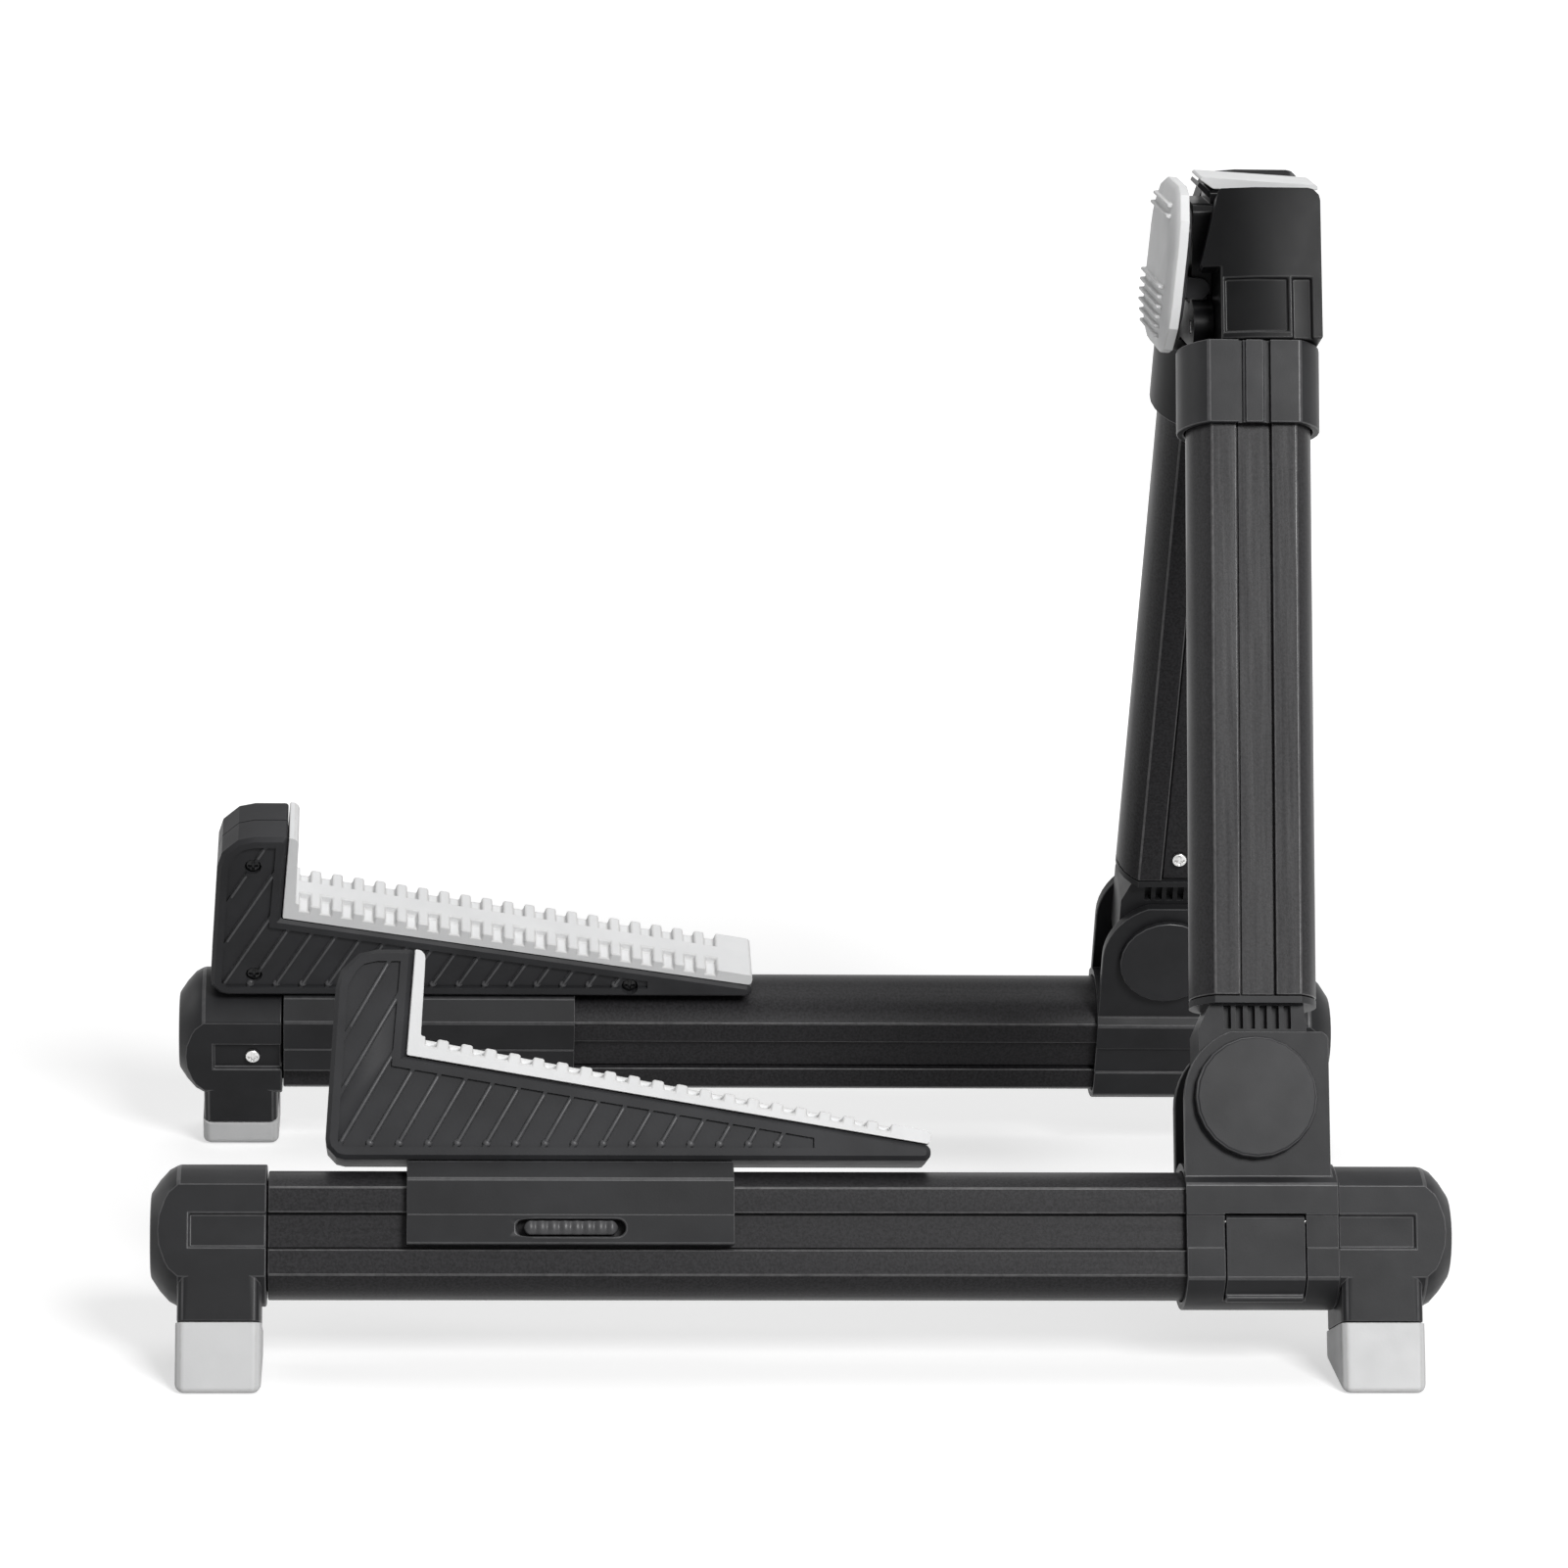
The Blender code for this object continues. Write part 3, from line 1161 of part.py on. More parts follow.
def finish(name, kind):
    """A Principled material of the named finish."""
    colour, roughness, metallic = FINISHES[kind]
    material = bpy.data.materials.new(name + "_finish")
    material.use_nodes = True
    shader = material.node_tree.nodes["Principled BSDF"]
    shader.inputs["Base Color"].default_value = colour
    shader.inputs["Roughness"].default_value = roughness
    shader.inputs["Metallic"].default_value = metallic
    material.diffuse_color = colour
    return material


def add_piece(name, mesh, kind, parent=None, origin=(0, 0, 0)):
    """Makes the named object, with round faces shaded smooth, at its parent's joint."""
    mesh.materials.clear()
    mesh.materials.append(finish(name, kind))
    mesh.shade_smooth()
    mesh.set_sharp_from_angle(angle=SMOOTH_ANGLE)
    mesh.name = name
    piece = bpy.data.objects.new(name, mesh)
    piece.parent = parent
    piece.location = -Vector(origin)
    bpy.context.scene.collection.objects.link(piece)
    return piece


def for_side(mesh, sign):
    """The mesh for one leg: as built for the left one, mirrored for the right one."""
    if sign < 0:
        mesh.transform(Matrix.Scale(-1, 4, (0, 1, 0)))
        mesh.flip_normals()
    return mesh


def add_leg(side, sign):
    """One leg: upright on the head's hinge, base on the upright's pivot, lever, cradle and lock."""
    hinge_origin = (0, -sign * PIN_INSET, PIN_HEIGHT_ON_LEG)
    fold_origin = (PIVOT_X, 0, PIVOT_HEIGHT)
    lever_origin = ((LEVER_START + LEVER_END) / 2, sign * LEVER_AXIS_N, LEVER_AXIS_U)
    hinge = pivot_empty(side + "_leg_axis", (0, sign * HINGE_HALF, HINGE_HEIGHT), lean=sign * LEAN)
    fold = pivot_empty(side + "_fold_axis", Vector(fold_origin) - Vector(hinge_origin), hinge)
    lever = pivot_empty(side + "_lever_axis", Vector(lever_origin) - Vector(fold_origin), fold)
    cradle_x = LEFT_CRADLE_X if sign > 0 else RIGHT_CRADLE_X
    cradle = pivot_empty(side + "_cradle_slide", Vector((cradle_x, 0, 0)) - Vector(fold_origin), fold)
    lock_origin = (LOCK_MIDDLE, sign * SADDLE_HALF, 0)
    lock = pivot_empty(side + "_lock_slide", lock_origin, cradle)

    on_upright = [
        ("upright_tube", upright_tube(), "anodised"),
        ("knuckle", knuckle(), "black_plastic"),
        ("knuckle_screw", knuckle_screw(), "silver_steel"),
        ("collar", collar(), "black_plastic"),
        ("head_fitting", head_fitting(), "black_plastic"),
    ]
    outer_disc = disc(OUTER_DISC_RADIUS, OUTER_DISC_THICKNESS, CHEEK_OUTER, 1)
    inner_disc = disc(INNER_DISC_RADIUS, INNER_DISC_THICKNESS, -CHEEK_OUTER, -1)
    on_base = [
        ("base_tube", base_tube(), "anodised"),
        ("bracket", bracket(), "black_plastic"),
        ("pivot_pin", pivot_pin(), "silver_steel"),
        ("outer_pivot_disc", outer_disc, "black_plastic"),
        ("inner_pivot_disc", inner_disc, "black_plastic"),
        ("lever_pin", lever_pin(), "silver_steel"),
        ("front_cap", cap("front"), "black_plastic"),
        ("rear_cap", cap("rear"), "black_plastic"),
        ("front_boot", boot("front"), "pale_rubber"),
        ("rear_boot", boot("rear"), "pale_rubber"),
        ("front_cap_screw", cap_screw("front"), "silver_steel"),
        ("rear_cap_screw", cap_screw("rear"), "silver_steel"),
    ]
    on_cradle = [
        ("cradle_saddle", saddle(), "black_plastic"),
        ("cradle_outer_shell", arm_shell(1), "black_plastic"),
        ("cradle_inner_shell", arm_shell(-1), "black_plastic"),
        ("cradle_pad", cradle_pad(), "pale_rubber"),
    ]
    for word, place in zip(("top", "low", "tip"), cradle_screw_places()):
        on_cradle.append(("cradle_screw_" + word, cradle_screw(place), "silver_steel"))
    for name, mesh, kind in on_upright:
        add_piece(side + "_" + name, for_side(mesh, sign), kind, hinge, hinge_origin)
    for name, mesh, kind in on_base:
        add_piece(side + "_" + name, for_side(mesh, sign), kind, fold, fold_origin)
    for name, mesh, kind in on_cradle:
        add_piece(side + "_" + name, for_side(mesh, sign), kind, cradle)
    lever_mesh = for_side(release_lever(), sign)
    lock_mesh = for_side(cradle_lock(), sign)
    add_piece(side + "_release_lever", lever_mesh, "black_plastic", lever, lever_origin)
    add_piece(side + "_cradle_lock", lock_mesh, "black_plastic", lock, lock_origin)
    add_piece(side + "_hinge_pin", hinge_pin(sign), "silver_steel")


def add_head():
    """The head between the legs, and the back pad that rocks on it."""
    add_piece("head_yoke", head_yoke(), "black_plastic")
    add_piece("head_top_pad", head_top_pad(), "pale_rubber")
    add_piece("rocker_pin", rocker_pin(), "silver_steel")
    rocker_origin = (ROCKER_X, 0, ROCKER_HEIGHT)
    rocker = pivot_empty("rocker_axis", rocker_origin)
    add_piece("pad_carrier", pad_carrier(), "black_plastic", rocker, rocker_origin)
    add_piece("back_pad", back_pad(), "pale_rubber", rocker, rocker_origin)


def main():
    """Empties the scene and builds the stand."""
    for existing in list(bpy.data.objects):
        bpy.data.objects.remove(existing)
    add_head()
    for side, sign in SIDES.items():
        add_leg(side, sign)


main()
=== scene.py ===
import json
import math

import bmesh
import bpy
from mathutils import Matrix, Vector

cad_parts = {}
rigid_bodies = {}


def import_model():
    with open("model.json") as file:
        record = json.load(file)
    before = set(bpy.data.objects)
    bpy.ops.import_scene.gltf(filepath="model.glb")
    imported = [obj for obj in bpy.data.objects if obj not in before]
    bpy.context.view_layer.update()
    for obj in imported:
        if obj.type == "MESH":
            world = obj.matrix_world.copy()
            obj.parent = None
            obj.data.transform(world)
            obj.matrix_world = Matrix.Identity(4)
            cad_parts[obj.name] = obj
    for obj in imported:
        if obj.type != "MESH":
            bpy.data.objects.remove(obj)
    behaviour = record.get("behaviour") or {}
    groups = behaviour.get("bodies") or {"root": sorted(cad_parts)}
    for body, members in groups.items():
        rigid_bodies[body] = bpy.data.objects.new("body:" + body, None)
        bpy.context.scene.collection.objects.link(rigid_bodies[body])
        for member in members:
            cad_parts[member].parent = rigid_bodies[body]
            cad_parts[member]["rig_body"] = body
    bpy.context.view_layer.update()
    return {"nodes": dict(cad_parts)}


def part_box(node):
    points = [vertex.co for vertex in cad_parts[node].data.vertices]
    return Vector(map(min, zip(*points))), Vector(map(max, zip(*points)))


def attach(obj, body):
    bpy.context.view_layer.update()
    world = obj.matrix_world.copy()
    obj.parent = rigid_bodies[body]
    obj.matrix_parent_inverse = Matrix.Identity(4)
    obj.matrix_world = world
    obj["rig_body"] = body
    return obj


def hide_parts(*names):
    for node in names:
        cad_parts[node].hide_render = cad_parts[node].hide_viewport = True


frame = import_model()

NODES = frame["nodes"]
MM = 0.001

# The photograph's camera: place in metres, angles in degrees, focal length in its own pixels
PHOTO_SIZE = 1601
CAMERA_PLACE = (-0.09505, -1.51706, 0.43268)
CAMERA_YAW = 3.584
CAMERA_PITCH = 11.743
CAMERA_ROLL = -1.051
CAMERA_FOCAL = 6507.9
SENSOR_MM = 36.0

# A leg's own frame: x along the tube, n out of the stand, u up along the upright
HALF_SPACING = 98 * MM
AXIS_HEIGHT = 30.3 * MM
LEAN = math.radians(21.5)
SIDES = {"right": -1, "left": 1}

# How wide the edges of each kind of piece are rounded, in how many segments
EDGE_PLASTIC = 0.50 * MM
EDGE_METAL = 0.32 * MM
EDGE_RUBBER = 0.55 * MM
EDGE_FINE = 0.20 * MM
EDGE_SEGMENTS = 2
EDGE_SHARE = 0.38
SOLE_ROUNDING = 1.7 * MM
SOLE_SEGMENTS = 4

# Pieces whose forms are close together, so the rounding stops where edges would meet
CLOSE_FORMS = ("shell", "knuckle", "head_yoke", "top_pad", "back_pad")

# Edges sharper than the first angle are rounded; creases above the others stay crisp
SHARP_ANGLE = math.radians(28)
HEAD_CREASE = math.radians(7)
SMOOTH_ANGLE = math.radians(30)
CUT_ANGLE = math.radians(50)
RIB_ANGLE = math.radians(60)
LOCK_ANGLE = math.radians(50)
SCREW_ANGLE = math.radians(40)
FLAT_ANGLE = math.radians(0.8)
SAME_POINT = 0.002 * MM

# Half a channel's width, its depth, and the width and depth of the gap along each side of it
TUBE_GAPS = (4.2 * MM, 1.2 * MM, 0.55 * MM, 0.7 * MM)
COLLAR_GAPS = (3.8 * MM, 0.6 * MM, 1.1 * MM, 0.8 * MM)

# A rest's arm and its ribbed panel, in (x, u) from the front end of its saddle
ARM_HALF = 8.8 * MM
ARM_CORNERS = [(-19.0 * MM, 16.75 * MM), (120.7 * MM, 16.75 * MM), (120.7 * MM, 20.15 * MM),
               (-0.6 * MM, 40.65 * MM), (1.3 * MM, 65.45 * MM), (-16.1 * MM, 65.45 * MM)]
PANEL_DEPTH = 0.8 * MM
PANEL_RIMS = [2.8 * MM, 27.0 * MM, 2.8 * MM, 2.8 * MM, 2.8 * MM, 2.8 * MM]
PANEL_ROUND = 6.7 * MM
PANEL_ROUND_SHIFT = 0.6 * MM
PANEL_ROUND_TURN = 82
PANEL_ROUND_STEPS = 4
SCREW_SPOTS = [(-7.6 * MM, 56.45 * MM), (-7.6 * MM, 23.05 * MM), (89.1 * MM, 19.85 * MM)]
SCREW_CLEAR = 2.7 * MM

# The bars over its ribs: where they stand, their section and how their ends swell
RIB_FIRST = -15.8 * MM
RIB_PITCH = 6.7 * MM
RIB_START = 19.55 * MM
RIB_SLOPE = math.radians(60)
RIB_NUMBERS = range(-6, 16)
RIB_HALF = 0.60 * MM
RIB_RISE = 0.95 * MM
RIB_BED = 0.03 * MM
RIB_STEPS = 8
RIB_ENDS = ((0.0, 0.55), (0.25 * MM, 0.9), (0.6 * MM, 1.0))
RIB_ABOVE_RIM = 0.95 * MM
RIB_FROM_SIDE = 0.8 * MM
RIB_BELOW_TOP = 0.4 * MM
RIB_SHORTEST = 1.5 * MM
FOOT_PROFILE = ((0.98, 0.0), (0.95, 0.35), (0.78, 0.65), (0.48, 0.86), (0.16, 0.94))
FOOT_STEPS = 16

# The thumb lock's ridges and lip, and the round ends of its slot
LOCK_RIDGE = 0.5 * MM
LOCK_RIDGES = 8
LOCK_RIDGE_STEPS = 8
LOCK_CREST = 0.7
LOCK_LIP = 0.35 * MM
LOCK_TIP = 0.25 * MM
SLOT_ROUND = 1.85 * MM
SLOT_SEGMENTS = 6
SLOT_REACH_X = 2.2 * MM
SLOT_REACH_U = 0.4 * MM

# A screw: shares of the head's radius with their depth in millimetres, the dome and the cross
SCREW_PROFILE = ((0.45, 2.6), (0.45, 1.1), (1.0, 1.1), (1.0, 0.62), (0.97, 0.50))
SCREW_STEPS = 64
SCREW_HEAD = 1.2 * MM
DOME_SHARE = 0.97
DOME_SPAN = 0.94
DOME_RISE = 0.50
DOME_STEPS = 14
CROSS_HALF = 0.17
CROSS_REACH = 0.66
CROSS_SINK = 0.55

# Finishes: an even grain, and how far the rounded edges take patches of another colour: lighter on the
# hard finishes, a painted highlight along with wear; darker on rubber and steel
EVEN = (1, 1, 1)
EDGE_PATCH_SHARE = 0.7
PATCH_SCALE = 380

# The set: the floor, and the lamps by name, place, size in metres and power in watts
FLOOR_HALF = 4.0
FLOOR_CELLS = 24
FLOOR_DROP = 0.2 * MM
FLOOR_GLOW = 0.58
FLOOR_GLOW_FROM = 0.22
FLOOR_GLOW_TO = 0.95
LAMPS = (("key_light", (0.85, -2.1, 1.6), 0.8, 62),
         ("top_light", (0.1, 0.2, 1.9), 1.2, 11),
         ("rim_light", (-1.4, 0.5, 0.6), 0.6, 3))
LAMPS_AIM = (0, 0, 0.12)
SURROUND = 0.10


# Materials

def nodes_of(name):
    """A new material with a Principled shader, its tree and a function that adds a node."""
    material = bpy.data.materials.new(name)
    material.use_nodes = True
    tree = material.node_tree
    shader = tree.nodes["Principled BSDF"]

    def add(kind, **values):
        node = tree.nodes.new(kind)
        for key, value in values.items():
            setattr(node, key, value)
        return node

    return material, tree, shader, add


def spread(tree, add, stretch):
    """Object coordinates scaled along each axis, so that grain can run lengthwise."""
    coordinates = add("ShaderNodeTexCoord")
    mapping = add("ShaderNodeMapping")
    mapping.inputs["Scale"].default_value = stretch
    tree.links.new(coordinates.outputs["Object"], mapping.inputs["Vector"])
    return mapping.outputs["Vector"]


def noise(tree, add, vector, scale, detail=4.0, roughness=0.55):
    """A noise texture read at the vector."""
    texture = add("ShaderNodeTexNoise")
    texture.inputs["Scale"].default_value = scale
    texture.inputs["Detail"].default_value = detail
    texture.inputs["Roughness"].default_value = roughness
    tree.links.new(vector, texture.inputs["Vector"])
    return texture.outputs["Fac"]


def ramp(tree, add, value, stops):
    """A colour ramp through the given (place, colour) stops."""
    node = add("ShaderNodeValToRGB")
    elements = node.color_ramp.elements
    while len(elements) < len(stops):
        elements.new(0.5)
    for element, (place, colour) in zip(elements, stops):
        element.position = place
        element.color = colour
    tree.links.new(value, node.inputs["Fac"])
    return node.outputs["Color"]


def grey(level, warmth=0.0, violet=0.0):
    """A grey with a slight warm or cool cast, and a touch less green where it leans to violet."""
    return (level * (1 + warmth), level * (1 - violet), level * (1 - warmth), 1)


def mapped(tree, add, value, low, high):
    """The value's middle range spread from low to high."""
    node = add("ShaderNodeMapRange")
    node.inputs["From Min"].default_value = 0.3
    node.inputs["From Max"].default_value = 0.7
    node.inputs["To Min"].default_value = low
    node.inputs["To Max"].default_value = high
    tree.links.new(value, node.inputs["Value"])
    return node.outputs["Result"]


def bumps(tree, add, shader, layers):
    """Stacks bump maps: each layer is a height, a strength and a depth in metres."""
    normal = None
    for height, strength, depth in layers:
        bump = add("ShaderNodeBump")
        bump.inputs["Strength"].default_value = strength
        bump.inputs["Distance"].default_value = depth
        tree.links.new(height, bump.inputs["Height"])
        if normal:
            tree.links.new(normal, bump.inputs["Normal"])
        normal = bump.outputs["Normal"]
    tree.links.new(normal, shader.inputs["Normal"])


def patched(tree, add, colour, other, share):
    """The colour with patches of another one: share is how far the patches go."""
    patches = noise(tree, add, spread(tree, add, EVEN), PATCH_SCALE, 5, 0.7)
    pick = ramp(tree, add, patches, [(0.38, grey(share * 0.35)), (0.62, grey(share))])
    mix = add("ShaderNodeMix", data_type="RGBA")
    tree.links.new(pick, mix.inputs["Factor"])
    tree.links.new(colour, mix.inputs["A"])
    mix.inputs["B"].default_value = other
    return mix.outputs["Result"]


def anodised(name, along_scale, patch_share):
    """Satin black anodised aluminium: fine sparkling grain over faint lengthwise draw lines."""
    material, tree, shader, add = nodes_of(name)
    even = spread(tree, add, EVEN)
    sparkle = noise(tree, add, even, 1500, 3, 0.7)
    dark, light = grey(0.012, -0.02, 0.05), grey(0.027, -0.02, 0.05)
    colour = ramp(tree, add, sparkle, [(0.36, dark), (0.62, light)])
    # The edge copy is lighter in patches: a painted highlight on the rounded edges, along with wear.
    if patch_share:
        colour = patched(tree, add, colour, grey(0.10, 0, 0.02), patch_share)
    tree.links.new(colour, shader.inputs["Base Color"])
    lines = noise(tree, add, spread(tree, add, along_scale), 900, 5)
    tree.links.new(mapped(tree, add, lines, 0.30, 0.44), shader.inputs["Roughness"])
    shader.inputs["Specular IOR Level"].default_value = 0.4 if patch_share else 0.11
    fine = noise(tree, add, even, 2400, 2)
    bumps(tree, add, shader, [(lines, 0.25, 0.00004), (fine, 0.30, 0.00004)])
    return material


def moulded(name, level, rough, gloss, grain_scale, grain_strength, patch_share):
    """Black moulded plastic: fine grain, patchy gloss and a faint cloudiness from handling."""
    material, tree, shader, add = nodes_of(name)
    even = spread(tree, add, EVEN)
    cloud = noise(tree, add, even, 55, 4)
    dark, light = grey(level * 0.78, -0.03, 0.03), grey(level * 1.22, -0.04, 0.03)
    colour = ramp(tree, add, cloud, [(0.30, dark), (0.70, light)])
    # The edge copy is lighter in patches: a painted highlight on the rounded edges, along with wear.
    if patch_share:
        colour = patched(tree, add, colour, grey(level * 2.8, -0.02, 0.03), patch_share)
    tree.links.new(colour, shader.inputs["Base Color"])
    patches = noise(tree, add, even, 130, 4)
    tree.links.new(mapped(tree, add, patches, rough - 0.02, rough + 0.04), shader.inputs["Roughness"])
    shader.inputs["Specular IOR Level"].default_value = gloss * (3.6 if patch_share else 1.0)
    grain = noise(tree, add, even, grain_scale, 3)
    flow = noise(tree, add, even, 140, 2)
    bumps(tree, add, shader, [(flow, 0.04, 0.0002), (grain, grain_strength, 0.00004)])
    return material


def pale_rubber(name, level, patch_share):
    """Pale grey rubber: soft sheen, faint mottling and, on its edges, a little grime."""
    material, tree, shader, add = nodes_of(name)
    even = spread(tree, add, EVEN)
    cloud = noise(tree, add, even, 70, 4)
    dark, light = grey(level * 0.92, -0.006), grey(level, -0.004)
    colour = ramp(tree, add, cloud, [(0.28, dark), (0.72, light)])
    if patch_share:
        colour = patched(tree, add, colour, grey(level * 0.80, 0.01), patch_share)
    tree.links.new(colour, shader.inputs["Base Color"])
    patches = noise(tree, add, even, 200, 3)
    tree.links.new(mapped(tree, add, patches, 0.46, 0.62), shader.inputs["Roughness"])
    shader.inputs["Subsurface Weight"].default_value = 0.06
    shader.inputs["Subsurface Radius"].default_value = (0.0012, 0.0012, 0.0011)
    shader.inputs["Specular IOR Level"].default_value = 0.4
    grain = noise(tree, add, even, 1700, 3)
    bumps(tree, add, shader, [(grain, 0.28, 0.00005)])
    return material


def bright_steel(name, level, patch_share):
    """Plated steel: fine scratches and slightly uneven polish."""
    material, tree, shader, add = nodes_of(name)
    even = spread(tree, add, EVEN)
    scratches = noise(tree, add, spread(tree, add, (12, 1, 1)), 700, 4)
    tone = noise(tree, add, even, 300, 2)
    colour = ramp(tree, add, tone, [(0.3, grey(level * 0.9)), (0.7, grey(level, 0.01))])
    if patch_share:
        colour = patched(tree, add, colour, grey(level * 0.6, 0.03), patch_share)
    tree.links.new(colour, shader.inputs["Base Color"])
    tree.links.new(mapped(tree, add, scratches, 0.18, 0.34), shader.inputs["Roughness"])
    shader.inputs["Metallic"].default_value = 1.0
    bumps(tree, add, shader, [(scratches, 0.12, 0.00003)])
    return material


def finish_pair(maker, name, *values):
    """A material for the faces and one for the rounded edges: on the hard finishes lighter, a painted
    highlight along with wear; on rubber and steel darker.
    """
    return [maker(name, *values, 0), maker(name + "_edge", *values, EDGE_PATCH_SHARE)]


# Shapes in a leg's frame

def leg_place(side, x=0.0):
    """From the leg's own frame (x, n, u) to the stand's frame."""
    sign = SIDES[side]
    cos, sin = math.cos(LEAN), math.sin(LEAN)
    return Matrix(((1, 0, 0, x),
                   (0, sign * cos, -sign * sin, sign * HALF_SPACING),
                   (0, sin, cos, AXIS_HEIGHT),
                   (0, 0, 0, 1)))


def ring_skin(body, rings):
    """Joins equal rings of points into a closed skin, with a flat face over each end."""
    rows = [[body.verts.new(point) for point in ring] for ring in rings]
    count = len(rows[0])
    for first, second in zip(rows, rows[1:]):
        for index in range(count):
            after = (index + 1) % count
            body.faces.new((first[index], first[after], second[after], second[index]))
    body.faces.new(rows[0])
    body.faces.new(rows[-1])


def made_piece(name, body, place, materials, rides, smooth_angle=SMOOTH_ANGLE):
    """An object from the mesh data, moved to its place in the stand's frame."""
    bmesh.ops.transform(body, matrix=place, verts=body.verts)
    bmesh.ops.recalc_face_normals(body, faces=body.faces)
    for face in body.faces:
        face.smooth = True
    mesh = bpy.data.meshes.new(name)
    for material in materials:
        mesh.materials.append(material)
    body.to_mesh(mesh)
    body.free()
    mesh.set_sharp_from_angle(angle=smooth_angle)
    piece = bpy.data.objects.new(name, mesh)
    bpy.context.scene.collection.objects.link(piece)
    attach(piece, rides)
    return piece


# Dressed pieces

def edge_room(edge):
    """How wide an edge may be rounded: a share of the shortest side that runs away from it."""
    along = (edge.verts[1].co - edge.verts[0].co).normalized()
    room = 1.0
    for face in edge.link_faces:
        for side in face.edges:
            if side is edge or not set(side.verts) & set(edge.verts):
                continue
            run = side.verts[1].co - side.verts[0].co
            across = run.cross(along).length
            if across > 0.3 * run.length:
                room = min(room, EDGE_SHARE * across)
    return room


def softened(body, width, smooth_angle):
    """Marks how far each sharp edge is rounded, the same along a run, and keeps creases crisp."""
    weight = body.edges.layers.float.new("bevel_weight_edge")
    leader = {}

    def lead(edge):
        while leader[edge] is not edge:
            edge = leader[edge]
        return edge

    for edge in body.edges:
        angle = edge.calc_face_angle(0) if len(edge.link_faces) == 2 else 0
        if angle > SHARP_ANGLE:
            leader[edge] = edge
        elif angle > smooth_angle:
            edge.smooth = False
    for vert in body.verts:
        here = [edge for edge in vert.link_edges if edge in leader]
        ways = [(edge.other_vert(vert).co - vert.co).normalized() for edge in here]
        for first in range(len(here)):
            for second in range(first):
                if ways[first].dot(ways[second]) < -0.6:
                    leader[lead(here[first])] = lead(here[second])
    rooms = {}
    for edge in leader:
        rooms[lead(edge)] = min(rooms.get(lead(edge), width), edge_room(edge))
    for edge in leader:
        edge[weight] = rooms[lead(edge)] / width


def cleaned(body):
    """Merges doubled points and the triangles of one flat face."""
    bmesh.ops.remove_doubles(body, verts=body.verts, dist=SAME_POINT)
    bmesh.ops.dissolve_limit(body, angle_limit=FLAT_ANGLE, verts=body.verts, edges=body.edges)


def baked(piece):
    """Applies the piece's modifiers to its mesh."""
    graph = bpy.context.evaluated_depsgraph_get()
    mesh = bpy.data.meshes.new_from_object(piece.evaluated_get(graph))
    piece.modifiers.clear()
    piece.data = mesh


def cut_away(piece, cutter_body):
    """Takes a cutter out of the piece, edge rounding and all."""
    bmesh.ops.recalc_face_normals(cutter_body, faces=cutter_body.faces)
    cutter = bpy.data.objects.new("cutter", bpy.data.meshes.new("cutter"))
    cutter_body.to_mesh(cutter.data)
    cutter_body.free()
    bpy.context.scene.collection.objects.link(cutter)
    cut = piece.modifiers.new("cut", "BOOLEAN")
    cut.object = cutter
    cut.solver = "EXACT"
    baked(piece)
    bpy.data.objects.remove(cutter)


def dressed(node, materials, edge, reshape, smooth_angle, cutters):
    """A finer copy of a node: whole faces, any reshaping, rounded edges in the edge finish (on the hard
    parts lighter, a painted highlight along with wear), then any cuts.
    """
    source = NODES[node]
    mesh = source.data.copy()
    mesh.materials.clear()
    if "custom_normal" in mesh.attributes:
        mesh.attributes.remove(mesh.attributes["custom_normal"])
    for material in materials:
        mesh.materials.append(material)
    body = bmesh.new()
    body.from_mesh(mesh)
    cleaned(body)
    for face in body.faces:
        face.material_index = 0
        face.smooth = True
    if reshape:
        reshape(body)
    softened(body, edge, smooth_angle)
    body.to_mesh(mesh)
    body.free()
    piece = bpy.data.objects.new(node + "_dressed", mesh)
    bpy.context.scene.collection.objects.link(piece)
    bevel = piece.modifiers.new("edges", "BEVEL")
    bevel.width = edge
    bevel.segments = EDGE_SEGMENTS
    bevel.limit_method = "WEIGHT"
    # The rounded edges take the edge finish: on the hard parts a lighter copy, a painted highlight
    # along with wear.
    bevel.material = 1
    bevel.use_clamp_overlap = any(word in node for word in CLOSE_FORMS)
    if cutters:
        baked(piece)
        for cutter in cutters:
            cut_away(piece, cutter)
        piece.data.set_sharp_from_angle(angle=CUT_ANGLE)
    level = piece.modifiers.new("level", "WEIGHTED_NORMAL")
    level.keep_sharp = True
    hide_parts(node)
    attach(piece, source["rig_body"])


def rounded_sole(body):
    """Rounds a boot all round its sole."""
    low = min(vert.co.z for vert in body.verts)
    edges = [e for e in body.edges if max(v.co.z for v in e.verts) < low + 0.2 * MM]
    bmesh.ops.bevel(body, geom=edges, offset=SOLE_ROUNDING, segments=SOLE_SEGMENTS, profile=0.5,
                    affect="EDGES", clamp_overlap=True)


def on_leg(node, side):
    """A node's points in its leg's frame."""
    back = leg_place(side).inverted()
    return [back @ vert.co for vert in NODES[node].data.vertices]


def slab(corners, low, high):
    """A block over four (x, u) corners between two depths n, in a leg's frame."""
    body = bmesh.new()
    ring_skin(body, [[(x, n, u) for x, u in corners] for n in (low, high)])
    return body


